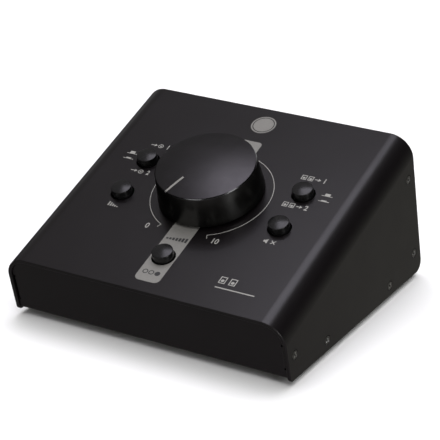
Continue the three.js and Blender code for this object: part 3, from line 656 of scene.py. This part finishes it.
def strip_mesh(half, inner, depth, drop=None):
    """A strip along -Y that follows the dome. With no drop it is the tool for the slot."""
    shares = [k / POINTER_STEPS for k in range(POINTER_STEPS + 1)]
    radii = [inner + (CREST - inner) * share for share in shares]
    stations = [(r, dome(r) - depth) for r in radii]
    if drop is None:
        stations.append((RIM_R + CUT_PAST, dome(CREST) - depth))
        tops = [RIM_H + CUT_PAST] * len(stations)
    else:
        tops = [dome(r) - drop for r in radii]
    verts = []
    for (r, low_z), high_z in zip(stations, tops):
        verts += [(-half, -r, low_z), (half, -r, low_z), (half, -r, high_z), (-half, -r, high_z)]
    faces = [(3, 2, 1, 0)]
    end = len(verts) - 4
    for a in range(0, end, 4):
        for j in range(4):
            i = (j + 1) % 4
            faces.append((a + j, a + i, a + 4 + i, a + 4 + j))
    faces.append((end, end + 1, end + 2, end + 3))
    return mesh_from("strip", verts, faces, POINTER_PLACE)


def knob_mesh():
    inside = [
        (0.0, BORE_TOP),
        (BORE, BORE_TOP),
        (BORE, BOSS_BOTTOM),
        (BOSS, BOSS_BOTTOM),
        (BOSS, KNOB_ROOF),
        (RIM_R - KNOB_WALL, KNOB_ROOF),
        (BASE_R - KNOB_WALL, LIFT),
    ]
    radii = [CREST * (1 - k / CROWN_STEPS) for k in range(1, CROWN_STEPS + 1)]
    crown = [(r, dome(r)) for r in radii]
    corners = [inside[-1], (BASE_R, LIFT), (RIM_R, SIDE_TOP), (CREST, RIM_H), crown[0]]
    outside = rounded(corners, [0, 0.25, 0.12, 0.12, 0], 3)[1:-1]
    mesh = lathe_mesh("knob_body", inside + outside + crown, KNOB_SIDES, KNOB_PLACE)
    slot = strip_mesh(
        POINTER_HALF + POINTER_GAP, POINTER_INNER - POINTER_GAP, POINTER_DEPTH + POINTER_GAP
    )
    up = Matrix.Translation((0, 0, SET_SCREW_H))
    toward_rear = POINTER_PLACE @ up @ Matrix.Rotation(-math.pi / 2, 4, "X")
    return carve(mesh, [slot, rod_mesh(SET_SCREW_HOLE, 0, SET_SCREW_REACH, 32, toward_rear)])


def paint_knob(mesh):
    """The chamfer is the second material and the side is the third."""
    inverse = KNOB_PLACE.inverted()
    edge_radii = (CREST - 0.02, RIM_R + 0.05)
    edge_heights = (SIDE_TOP - 0.02, RIM_H + 0.02)
    side_radius = RIM_R - 0.1
    for face in mesh.polygons:
        point = inverse @ face.center
        radius = math.hypot(point.x, point.y)
        at_edge = edge_radii[0] < radius < edge_radii[1]
        if at_edge and edge_heights[0] < point.z < edge_heights[1]:
            face.material_index = 1
        elif radius > side_radius and LIFT < point.z < SIDE_TOP:
            face.material_index = 2
        else:
            face.material_index = 0


knob_shape = soften(knob_mesh(), 30.0)
paint_knob(knob_shape)
piece("knob_shell", knob_shape, [KNOB, KNOB_EDGE, KNOB_SIDE], "knob", ["knob"])
pointer_shape = strip_mesh(POINTER_HALF, POINTER_INNER, POINTER_DEPTH, POINTER_DROP)
pointer_shape = bevelled(pointer_shape, 0.05, 1)
piece("pointer_line", pointer_shape, [POINTER], "knob", ["knob_pointer"])

# Button caps: heights are above the deck
CAP_RIM = 5.4
CAP_BASE = 5.6
CAP_RISE = 3.95
CAP_DOME = 0.75
CAP_DEPTH = 1.7
CAP_BORE = 4.5
CAP_CEILING = 2.3
CAP_STEPS = 16


def cap_mesh(x, s):
    shares = [1 - k / CAP_STEPS for k in range(CAP_STEPS + 1)]
    crown = [(CAP_RIM * share, CAP_RISE + CAP_DOME * (1 - share**2)) for share in shares]
    under = [(0.0, CAP_CEILING), (CAP_BORE, CAP_CEILING), (CAP_BORE, -CAP_DEPTH)]
    side = [under[-1], (CAP_BASE, -CAP_DEPTH), crown[0], crown[2]]
    outer = rounded(side, [0, 0.15, 0.32, 0], 6)[1:-1]
    crown = [p for p in crown if p[0] < outer[-1][0] - 0.05]
    return lathe_mesh("cap", under + outer + crown, 96, deck_matrix(x, s))


for name, (x, s) in BUTTONS.items():
    shape = soften(cap_mesh(x, s), 35.0)
    piece(f"cap_{name}", shape, [CAP], f"button_{name}", [f"button_{name}"])

# Side screws: heights are above the wall, and each cross recess has its own turn in degrees
SCREW_LENGTH = 7.0
SCREW_TIP = 1.2
SHANK = 1.3
HEAD = 2.5
HEAD_DROP = 0.02
RECESS_HALF = 0.36
RECESS_REACH = 1.5
RECESS_TILT = math.radians(47.0)
PIT_DEPTH = 1.5
PIT_TIP = 0.3
PIT_MOUTH = 0.5
RECESS_TURNS = (68.0, 49.0, 69.0, 51.0, 54.0)


def recess_arm(matrix):
    """One arm of the cross recess: a groove with sloped walls and ends."""
    above = 0.3
    steep = math.tan(RECESS_TILT)
    spread = above / steep
    wide, far = RECESS_HALF + spread, RECESS_REACH + spread
    near, deep = RECESS_REACH - RECESS_HALF, -RECESS_HALF * steep
    verts = [(x, y, above) for x, y in bar(-wide, -far, wide, far)]
    verts += [(0.0, -near, deep), (0.0, near, deep)]
    faces = [(3, 2, 1, 0), (0, 1, 4), (1, 2, 5, 4), (2, 3, 5), (3, 0, 4, 5)]
    return mesh_from("arm", verts, faces, matrix)


def screw_mesh(side, place, turn):
    profile = [
        (0, -SCREW_LENGTH),
        (SHANK / 2, -SCREW_LENGTH),
        (SHANK, SCREW_TIP - SCREW_LENGTH),
        (SHANK, -SINK_DEPTH),
        (HEAD, -HEAD_DROP),
        (0, 0.0),
    ]
    matrix = side_matrix(side, place)
    body = lathe_mesh("screw", rounded(profile, [0, 0, 0, 0, 0.12, 0], 3), 40, matrix)
    tools = []
    for quarter in (0, 90):
        tools.append(recess_arm(matrix @ Matrix.Rotation(math.radians(turn + quarter), 4, "Z")))
    pit = [(0, -PIT_DEPTH), (PIT_TIP, PIT_TIP - PIT_DEPTH), (PIT_MOUTH, 0.5), (0, 0.5)]
    tools.append(lathe_mesh("pit", pit, 16, matrix))
    return soften(carve(body, tools), 20.0)


for side, side_name in ((-1, "left"), (1, "right")):
    for index, (place, turn) in enumerate(zip(SCREWS, RECESS_TURNS), 1):
        label = f"{side_name}_{index}"
        shape = screw_mesh(side, place, turn)
        piece(f"screw_{label}", shape, [SCREW], "housing", [f"side_screw_{label}"])

# Feet: heights are above the ground
FOOT_RADIUS = 6.5
FOOT_CHAMFER = 0.8
FOOT_HEIGHT = 4.0
DIMPLE_RADIUS = 2.0
DIMPLE_DEPTH = 0.5
DIMPLE_FLARE = 0.2


def foot_mesh(centre):
    profile = [
        (0, DIMPLE_DEPTH),
        (DIMPLE_RADIUS, DIMPLE_DEPTH),
        (DIMPLE_RADIUS + DIMPLE_FLARE, 0.0),
        (FOOT_RADIUS - FOOT_CHAMFER, 0.0),
        (FOOT_RADIUS, FOOT_CHAMFER),
        (FOOT_RADIUS, FOOT_HEIGHT),
        (0, FOOT_HEIGHT),
    ]
    profile = rounded(profile, [0, 0.1, 0.1, 0.2, 0.3, 0.2, 0], 4)
    return lathe_mesh("foot", profile, 64, Matrix.Translation(centre) @ Matrix.Scale(MM, 4))


for node in [f"foot_{end}_{side}" for end in ("front", "rear") for side in ("left", "right")]:
    low, high = (Vector(corner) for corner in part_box(node))
    centre = Vector(((low.x + high.x) / 2, (low.y + high.y) / 2, low.z))
    shape = soften(foot_mesh(centre), 35.0)
    piece(f"{node}_pad", shape, [RUBBER], "housing", [node])

# Jacks: a threaded bushing on a moulded body, and the nut outside the wall. Z is out of the wall
JACK_PITCH = 34.0
JACK_LOW_ROW = 22.0
BUSHING = 4.8
BUSHING_BOTTOM = -3.2
BUSHING_TOP = 3.4
BUSHING_TIP = 4.4
THREAD_ROOT = 4.42
THREAD_TOP = 3.0
THREAD_PITCH = 0.75
THREAD_TURNS = 7
JACK_HALF_WIDTH = 8
JACK_HALF_HEIGHT = 10
JACK_LENGTH = 24.0
JACK_GAP = 0.3
SOCKET = 3.3
SOCKET_BOTTOM = -16.6
FLARE = 1.1
FLARE_BOTTOM = 2.9
NUT_FLAT = 6.75
NUT_LOW = 0.3
NUT_HIGH = 2.5
NUT_HOLE = 5.0
NUT_HOLE_ROUND = 0.6
NUT_PAST = 1.0
CONE_FOOT = (9.0, 1.2)
CONE_TOP = (6.5, 2.62)
CONTACT_RADII = (2.9, 3.25)
CONTACT_BOTTOM = -6.0
CONTACT_TOP = -0.6
CONTACT_LIP = 0.3
TURNED_SIDES = 64


def jack_mesh():
    thread = []
    for k in range(THREAD_TURNS):
        top = THREAD_TOP - k * THREAD_PITCH
        thread += [(BUSHING, top), (THREAD_ROOT, top - THREAD_PITCH / 2)]
    outline = [(0, BUSHING_TOP), (BUSHING_TIP, BUSHING_TOP)] + thread
    outline += [
        (BUSHING, THREAD_TOP - THREAD_TURNS * THREAD_PITCH),
        (BUSHING, BUSHING_BOTTOM),
        (0, BUSHING_BOTTOM),
    ]
    section = bar(-JACK_HALF_WIDTH, -JACK_HALF_HEIGHT, JACK_HALF_WIDTH, JACK_HALF_HEIGHT)
    face = -TRAY_SHEET - JACK_GAP
    body = prism_mesh("body", section, face - JACK_LENGTH, face)
    body = carve(body, [lathe_mesh("bushing", outline, TURNED_SIDES)], "UNION")
    mouth = FLARE_BOTTOM + FLARE
    bore = [(0, SOCKET_BOTTOM), (SOCKET, SOCKET_BOTTOM), (SOCKET, FLARE_BOTTOM)]
    bore += [(SOCKET + FLARE, mouth), (0, mouth)]
    return carve(body, [lathe_mesh("bore", bore, TURNED_SIDES)])


def nut_mesh():
    corner = NUT_FLAT / math.cos(math.pi / 6)
    nut = prism_mesh("nut", circle(0.0, 0.0, corner, 6), NUT_LOW, NUT_HIGH)
    cone = [(0, -NUT_PAST), (CONE_FOOT[0], -NUT_PAST), CONE_FOOT, CONE_TOP, (0, CONE_TOP[1])]
    nut = carve(nut, [lathe_mesh("nut_cone", cone, 72)], "INTERSECT")
    mouth = NUT_HIGH + NUT_HOLE_ROUND / 2
    hole = [(0, -NUT_PAST), (NUT_HOLE, -NUT_PAST), (NUT_HOLE, mouth - NUT_HOLE_ROUND)]
    hole += [(NUT_HOLE + NUT_HOLE_ROUND, mouth), (0, mouth)]
    return carve(nut, [lathe_mesh("nut_hole", hole, TURNED_SIDES)])


def contact_mesh():
    """The sprung sleeve contact that shows inside a socket."""
    inner, outer = CONTACT_RADII
    outline = bar(inner, CONTACT_BOTTOM, outer, CONTACT_TOP)
    outline[-1] = (inner, CONTACT_TOP - CONTACT_LIP)
    return lathe_mesh("contact", outline, 48, closed=True)


jack_shape = jack_mesh()
nut_shape = nut_mesh()
contact_shape = contact_mesh()
for row, row_name in enumerate(("output", "input")):
    for column, column_name in enumerate(("1_left", "1_right", "2_left", "2_right")):
        label = f"{row_name}_{column_name}"
        spot = ((column - 1.5) * JACK_PITCH, JACK_LOW_ROW + row * JACK_PITCH, 0)
        place = REAR @ Matrix.Translation(spot)
        body = soften(moved(jack_shape, place), 25.0)
        piece(f"socket_{label}", body, [BLACK], "housing", [f"jack_{label}"])
        ring = soften(moved(contact_shape, place), 35.0)
        piece(f"contact_{label}", ring, [CONTACT], "housing")
        turn = math.radians(8.0 + 17.0 * ((row * 4 + column) % 3))
        nut = soften(moved(nut_shape, place @ Matrix.Rotation(turn, 4, "Z")), 25.0)
        piece(f"nut_{label}", nut, [STEEL], "housing", [f"jack_nut_{label}"])

# Printing: thin layers on the deck, in deck coordinates
PRINT_LOW = -0.02
PRINT_HIGH = 0.02
STRIPE_HIGH = 0.015
DARK_LOW = -0.01
DARK_HIGH = 0.03
SCALE_RADIUS = 32.06
SCALE_STROKE = 0.38
SCALE_TICK = 2.5
SCALE_START = math.radians(-65.9)
SCALE_END = math.radians(245.2)
STRIPE_HALF = 7.05
STRIPE_ENDS = (7.1, 118.7)
STRIPE_ROUNDS = (3.0, 2.3)
BADGE_S = 132.6
BADGE_RADII = (6.8, 6.0, 5.5)


def ring_of(x, y, radius, stroke):
    return [circle(x, y, radius), circle(x, y, radius - stroke)]


def at(x, y, outlines):
    return [[(px + x, py + y) for px, py in outline] for outline in outlines]


def curve_mesh(curve, matrix):
    mesh = evaluated(new_object("print", curve))
    mesh.materials.clear()
    mesh.transform(matrix)
    return mesh


def flat_mesh(outlines, low=PRINT_LOW, high=PRINT_HIGH):
    """Filled outlines, holes included, as a thin layer on the deck."""
    curve = bpy.data.curves.new("print", "CURVE")
    curve.dimensions = "2D"
    curve.fill_mode = "BOTH"
    curve.extrude = (high - low) / 2
    for outline in outlines:
        spline = curve.splines.new("POLY")
        spline.points.add(len(outline) - 1)
        for point, (x, y) in zip(spline.points, outline):
            point.co = (x, y, 0, 1)
        spline.use_cyclic_u = True
    return curve_mesh(curve, DECK @ Matrix.Translation((0, 0, (low + high) / 2)))


def digits_mesh(text, x, y, height):
    """Plain digits, centred on a place of the deck."""
    curve = bpy.data.curves.new("digits", "FONT")
    curve.body = text
    curve.align_x = "CENTER"
    curve.align_y = "CENTER"
    curve.extrude = 0.5
    curve.offset = 0.02
    capital = 0.7
    narrow = 0.85
    scale = height / capital
    size = Matrix.Diagonal((scale * narrow, scale, PRINT_HIGH - PRINT_LOW, 1))
    middle = (PRINT_LOW + PRINT_HIGH) / 2
    return curve_mesh(curve, DECK @ Matrix.Translation((x, y, middle)) @ size)


def arc(radius, start, end, steps=180):
    """Points around the knob's centre, from one angle to another."""
    angles = [start + (end - start) * k / steps for k in range(steps + 1)]
    return [(radius * math.cos(a), KNOB_S + radius * math.sin(a)) for a in angles]


def scale_outline():
    """The volume arc with its two end ticks as one closed outline."""
    inner, outer = SCALE_RADIUS - SCALE_STROKE / 2, SCALE_RADIUS + SCALE_STROKE / 2
    tip = SCALE_RADIUS + SCALE_TICK
    side = SCALE_STROKE / SCALE_RADIUS
    return (
        arc(inner, SCALE_START, SCALE_END)
        + arc(tip, SCALE_END, SCALE_END - side, 1)
        + arc(outer, SCALE_END - side, SCALE_START + side)
        + arc(tip, SCALE_START + side, SCALE_START, 1)
    )


def stripe_outline():
    low, high = STRIPE_ENDS
    corners = bar(-STRIPE_HALF, low, STRIPE_HALF, high)
    radii = [radius for radius in STRIPE_ROUNDS for _ in range(2)]
    points = []
    for k, (corner, radius) in enumerate(zip(corners, radii)):
        before, after = corners[k - 1], corners[(k + 1) % 4]
        points += rounded([before, corner, after], [0, radius, 0], 8)[1:-1]
    return points


def mirrored(points):
    """The right half of an outline, from the bottom up, with its mirror image."""
    return points + [(-x, y) for x, y in reversed(points)]


def hat(rise):
    """A side view of a button on its panel."""
    half, block, stroke = 3.0, 1.45, 0.42
    return [mirrored([(half, 0), (half, stroke), (block, stroke), (block, rise)])]


def arrow(x0, x1):
    """An arrow along x, on the line y = 0."""
    shaft, head, wing = 0.25, 1.5, 1.05
    neck = x1 - head
    lower = [(x0, -shaft), (neck, -shaft), (neck, -wing)]
    upper = [(px, -py) for px, py in reversed(lower)]
    return lower + [(x1, 0)] + upper


def bars(heights, pitch, width):
    """Upright bars side by side, all from the same foot line."""
    start = -(len(heights) - 1) * pitch / 2 - width / 2
    foot = -1.5
    lefts = [start + k * pitch for k in range(len(heights))]
    return [bar(x, foot, x + width, foot + h) for x, h in zip(lefts, heights)]


def cross(x, y):
    """A diagonal cross."""
    h, r = 0.25, 1.7
    arm = [(h, h), (r, h), (r, -h)]
    quarters = [arm]
    for _ in range(3):
        quarters.append([(py, -px) for px, py in quarters[-1]])
    c = math.sqrt(0.5)
    points = [point for quarter in quarters for point in quarter]
    return [(x + (px - py) * c, y + (px + py) * c) for px, py in points]


def cabinet(x, y, width, height, stroke):
    """A loudspeaker cabinet from the front."""
    w, h = width / 2, height / 2
    outside = bar(x - w, y - h, x + w, y + h)
    inside = bar(x - w + stroke, y - h + stroke, x + w - stroke, y + h - stroke)
    return [outside, inside, circle(x, y - h * 0.2, w * 0.5, 24)]


def speaker(x, y):
    """A loudspeaker driver from the side."""
    back, neck, front, small, large = -1.3, -0.4, 0.9, 0.7, 1.7
    lower = [(back, -small), (neck, -small), (front, -large)]
    upper = [(px, -py) for px, py in reversed(lower)]
    return [(x + px, y + py) for px, py in lower + upper]


INPUT_SIGN = [arrow(-5.6, -1.7)] + ring_of(0.4, 0, 1.5, 0.45) + [circle(0.4, 0, 0.5, 24)]
MONITOR_SIGN = cabinet(-5.6, 0, 2.9, 3.4, 0.42) + cabinet(-1.8, 0, 2.9, 3.4, 0.42)
MONITOR_SIGN.append(arrow(0.6, 4.0))
TALL, LOW = hat(2.1), hat(1.1)
PRINTS = {
    "print_scale": [scale_outline()],
    "print_button_signs": (
        at(-57.5, 90.8, TALL) + at(-57.5, 86.7, LOW) + at(58.2, 90.4, TALL) + at(58.2, 86.3, LOW)
    ),
    "print_selector_signs": (
        at(-45.6, 100.8, INPUT_SIGN)
        + at(-45.6, 79.3, INPUT_SIGN)
        + at(46.0, 100.5, MONITOR_SIGN)
        + at(46.0, 79.1, MONITOR_SIGN)
    ),
    "print_level_signs": (
        at(-45.6, 52.2, bars([3.0, 2.4, 1.8, 1.2, 0.6], 1.35, 0.7))
        + [speaker(43.9, 51.4), cross(47.9, 51.4)]
    ),
    "print_face_sign": (
        cabinet(36.9, 19.8, 3.6, 4.6, 0.5)
        + cabinet(42.5, 19.8, 3.6, 4.6, 0.5)
        + [bar(35.1, 14.2, 56.9, 14.9)]
    ),
}
for name, outlines in PRINTS.items():
    piece(name, flat_mesh(outlines), [INK], "housing")

# Each digit sign: its text, place and height
DIGITS = [
    ("1", -40.8, 100.8, 3.1),
    ("2", -40.8, 79.3, 3.1),
    ("1", 52.1, 100.5, 3.4),
    ("2", 52.1, 79.1, 3.4),
    ("0", -20.0, 43.2, 3.5),
    ("10", 19.3, 43.2, 3.5),
]
digits = joined([digits_mesh(*sign) for sign in DIGITS])
piece("print_digits", digits, [INK], "housing")

# The stripe leaves the button's hole and the knob's shaft free
stripe = [
    stripe_outline(),
    circle(*BUTTONS["mono"], BUTTON_HOLE + 0.02, 96),
    circle(0, KNOB_S, KNOB_HOLE + 0.4, 64),
]
badge = [circle(0, BADGE_S, radius, 96) for radius in BADGE_RADII]
for name, outlines in (("print_stripe", stripe), ("print_badge", badge)):
    layer = flat_mesh(outlines, PRINT_LOW, STRIPE_HIGH)
    piece(name, layer, [STRIPE_INK], "housing")

level_bars = at(0, 39.1, bars([1.1 + 0.32 * k for k in range(7)], 1.75, 1.2))
two_rings = ring_of(-3.6, 13.5, 1.5, 0.5) + ring_of(-0.2, 13.5, 1.5, 0.5)
dark_signs = level_bars + two_rings + [circle(3.3, 13.5, 1.5, 36)]
layer = flat_mesh(dark_signs, DARK_LOW, DARK_HIGH)
piece("print_stripe_signs", layer, [DARK_INK], "housing")

# What stays inside keeps the frame's shape
INNER = {
    "pot_body": STEEL,
    "pot_nut": STEEL,
    "pot_shaft": STEEL,
    "knob_set_screw": SCREW,
    "control_board": BOARD,
    "jack_board": BOARD,
    "ribbon_cable": RIBBON,
    "plunger": BLACK,
    "switch": STEEL,
    "board_standoff": NYLON,
}
for name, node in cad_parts.items():
    for start, material in INNER.items():
        if name.startswith(start):
            for slot in node.material_slots:
                slot.material = material

# Camera at the photograph's angle, in metres and degrees
CAMERA_PLACE = (0.444772, -0.759453, 0.430898)
CAMERA_TURN = (66.266929, 0.201633, 30.223547)
camera = new_object("camera", bpy.data.cameras.new("camera"))
camera.data.sensor_width = 36.0
camera.data.lens = 152.7715
camera.data.clip_end = 50.0
camera.location = CAMERA_PLACE
camera.rotation_euler = [math.radians(a) for a in CAMERA_TURN]
bpy.context.scene.camera = camera

# Floor, in metres, out of sight for reflections
FLOOR_REACH = 6.0
paper = Nodes("floor_white")
paper.shader.inputs["Roughness"].default_value = 0.9
paper.shader.inputs["Specular IOR Level"].default_value = 0.1
paper.color(paper.mix(paper.noise(6.0, 2.0, SOFT), (0.95, 0.95, 0.95), (0.96, 0.96, 0.96)))
ground = [(x, y, 0) for x, y in bar(-FLOOR_REACH, -FLOOR_REACH, FLOOR_REACH, FLOOR_REACH)]
floor = new_object("floor", mesh_from("floor", ground, [(0, 1, 2, 3)]), [paper.material])
floor.visible_glossy = False
floor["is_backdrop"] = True

# The room's light: stops of (share of the axis, colour), brighter toward the front
world = bpy.data.worlds.new("studio")
bpy.context.scene.world = world
world.use_nodes = True
tree = world.node_tree
sky = tree.nodes["Background"]
toward = tree.nodes.new("ShaderNodeTexCoord").outputs["Generated"]


def sky_ramp(axis, stops):
    """A colour for each direction of the room, by its share along one axis."""
    dot = tree.nodes.new("ShaderNodeVectorMath")
    dot.operation = "DOT_PRODUCT"
    dot.inputs[1].default_value = Vector(axis).normalized()
    tree.links.new(toward, dot.inputs[0])
    unit = tree.nodes.new("ShaderNodeMapRange")
    unit.inputs["From Min"].default_value = -1.0
    tree.links.new(dot.outputs["Value"], unit.inputs["Value"])
    ramp = tree.nodes.new("ShaderNodeValToRGB")
    tree.links.new(unit.outputs["Result"], ramp.inputs["Fac"])
    elements = ramp.color_ramp.elements
    while len(elements) < len(stops):
        elements.new(0.5)
    for element, (share, color) in zip(elements, stops):
        element.position = (share + 1) / 2
        element.color = (*color, 1.0)
    return ramp.outputs["Color"]


upward = sky_ramp((-0.35, 0.2, 0.9), [
    (-1.0, (0.12, 0.108, 0.114)),
    (-0.6, (0.12, 0.11, 0.113)),
    (-0.45, (0.12, 0.115, 0.108)),
    (-0.36, (0.225, 0.221, 0.2)),
    (-0.1, (0.09, 0.088, 0.08)),
    (0.1, (0.012, 0.012, 0.012)),
    (0.35, (0.008, 0.008, 0.008)),
    (0.6, (0.045, 0.044, 0.045)),
    (0.85, (0.19, 0.182, 0.182)),
    (1.0, (0.245, 0.233, 0.236)),
])
frontward = sky_ramp((0.45, -0.9, 0), [(0.2, (1, 1, 1)), (0.75, (3, 3, 3))])
both = tree.nodes.new("ShaderNodeVectorMath")
both.operation = "MULTIPLY"
tree.links.new(upward, both.inputs[0])
tree.links.new(frontward, both.inputs[1])
tree.links.new(both.outputs["Vector"], sky.inputs["Color"])
sky.inputs["Strength"].default_value = 1.0

# Lamps: direction, distance, width and height in metres, power and colour
WHITE = (1, 1, 1)
COOL = (0.91, 0.88, 1.0)
LAMPS = {
    "room": ((0, 0, 1), 2.5, 4.0, 4.0, 104.0, WHITE),
    "overhead": ((-0.08, 0.18, 0.98), 1.5, 0.85, 0.9, 5.9, COOL),
    "right": ((0.7, -0.28, 0.65), 1.5, 0.45, 0.35, 0.9, WHITE),
    "right_low": ((0.85, -0.42, 0.32), 1.5, 0.4, 0.4, 4.4, WHITE),
    "left_rear": ((-0.73, 0.64, 0.19), 1.5, 0.7, 0.45, 0.3, WHITE),
    "rear": ((0.15, 0.95, 0.25), 1.5, 1.2, 0.6, 1.8, WHITE),
    "front": ((-0.1, -0.88, 0.45), 1.6, 0.7, 0.2, 0.7, WHITE),
}
AIM_HEIGHT = Vector((0, 0, 0.05))

# Only the room lamp isn't seen in reflections
for name, (direction, distance, width, height, power, color) in LAMPS.items():
    light = bpy.data.lights.new(name, "AREA")
    light.shape = "RECTANGLE"
    light.size = width
    light.size_y = height
    light.energy = power
    light.color = color
    aim = Vector(direction).normalized()
    lamp = new_object(name, light)
    lamp.location = aim * distance + AIM_HEIGHT
    lamp.rotation_euler = (-aim).to_track_quat("-Z", "Y").to_euler()
    lamp.visible_glossy = name != "room"

bpy.context.scene.view_settings.view_transform = "Standard"

low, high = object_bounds()
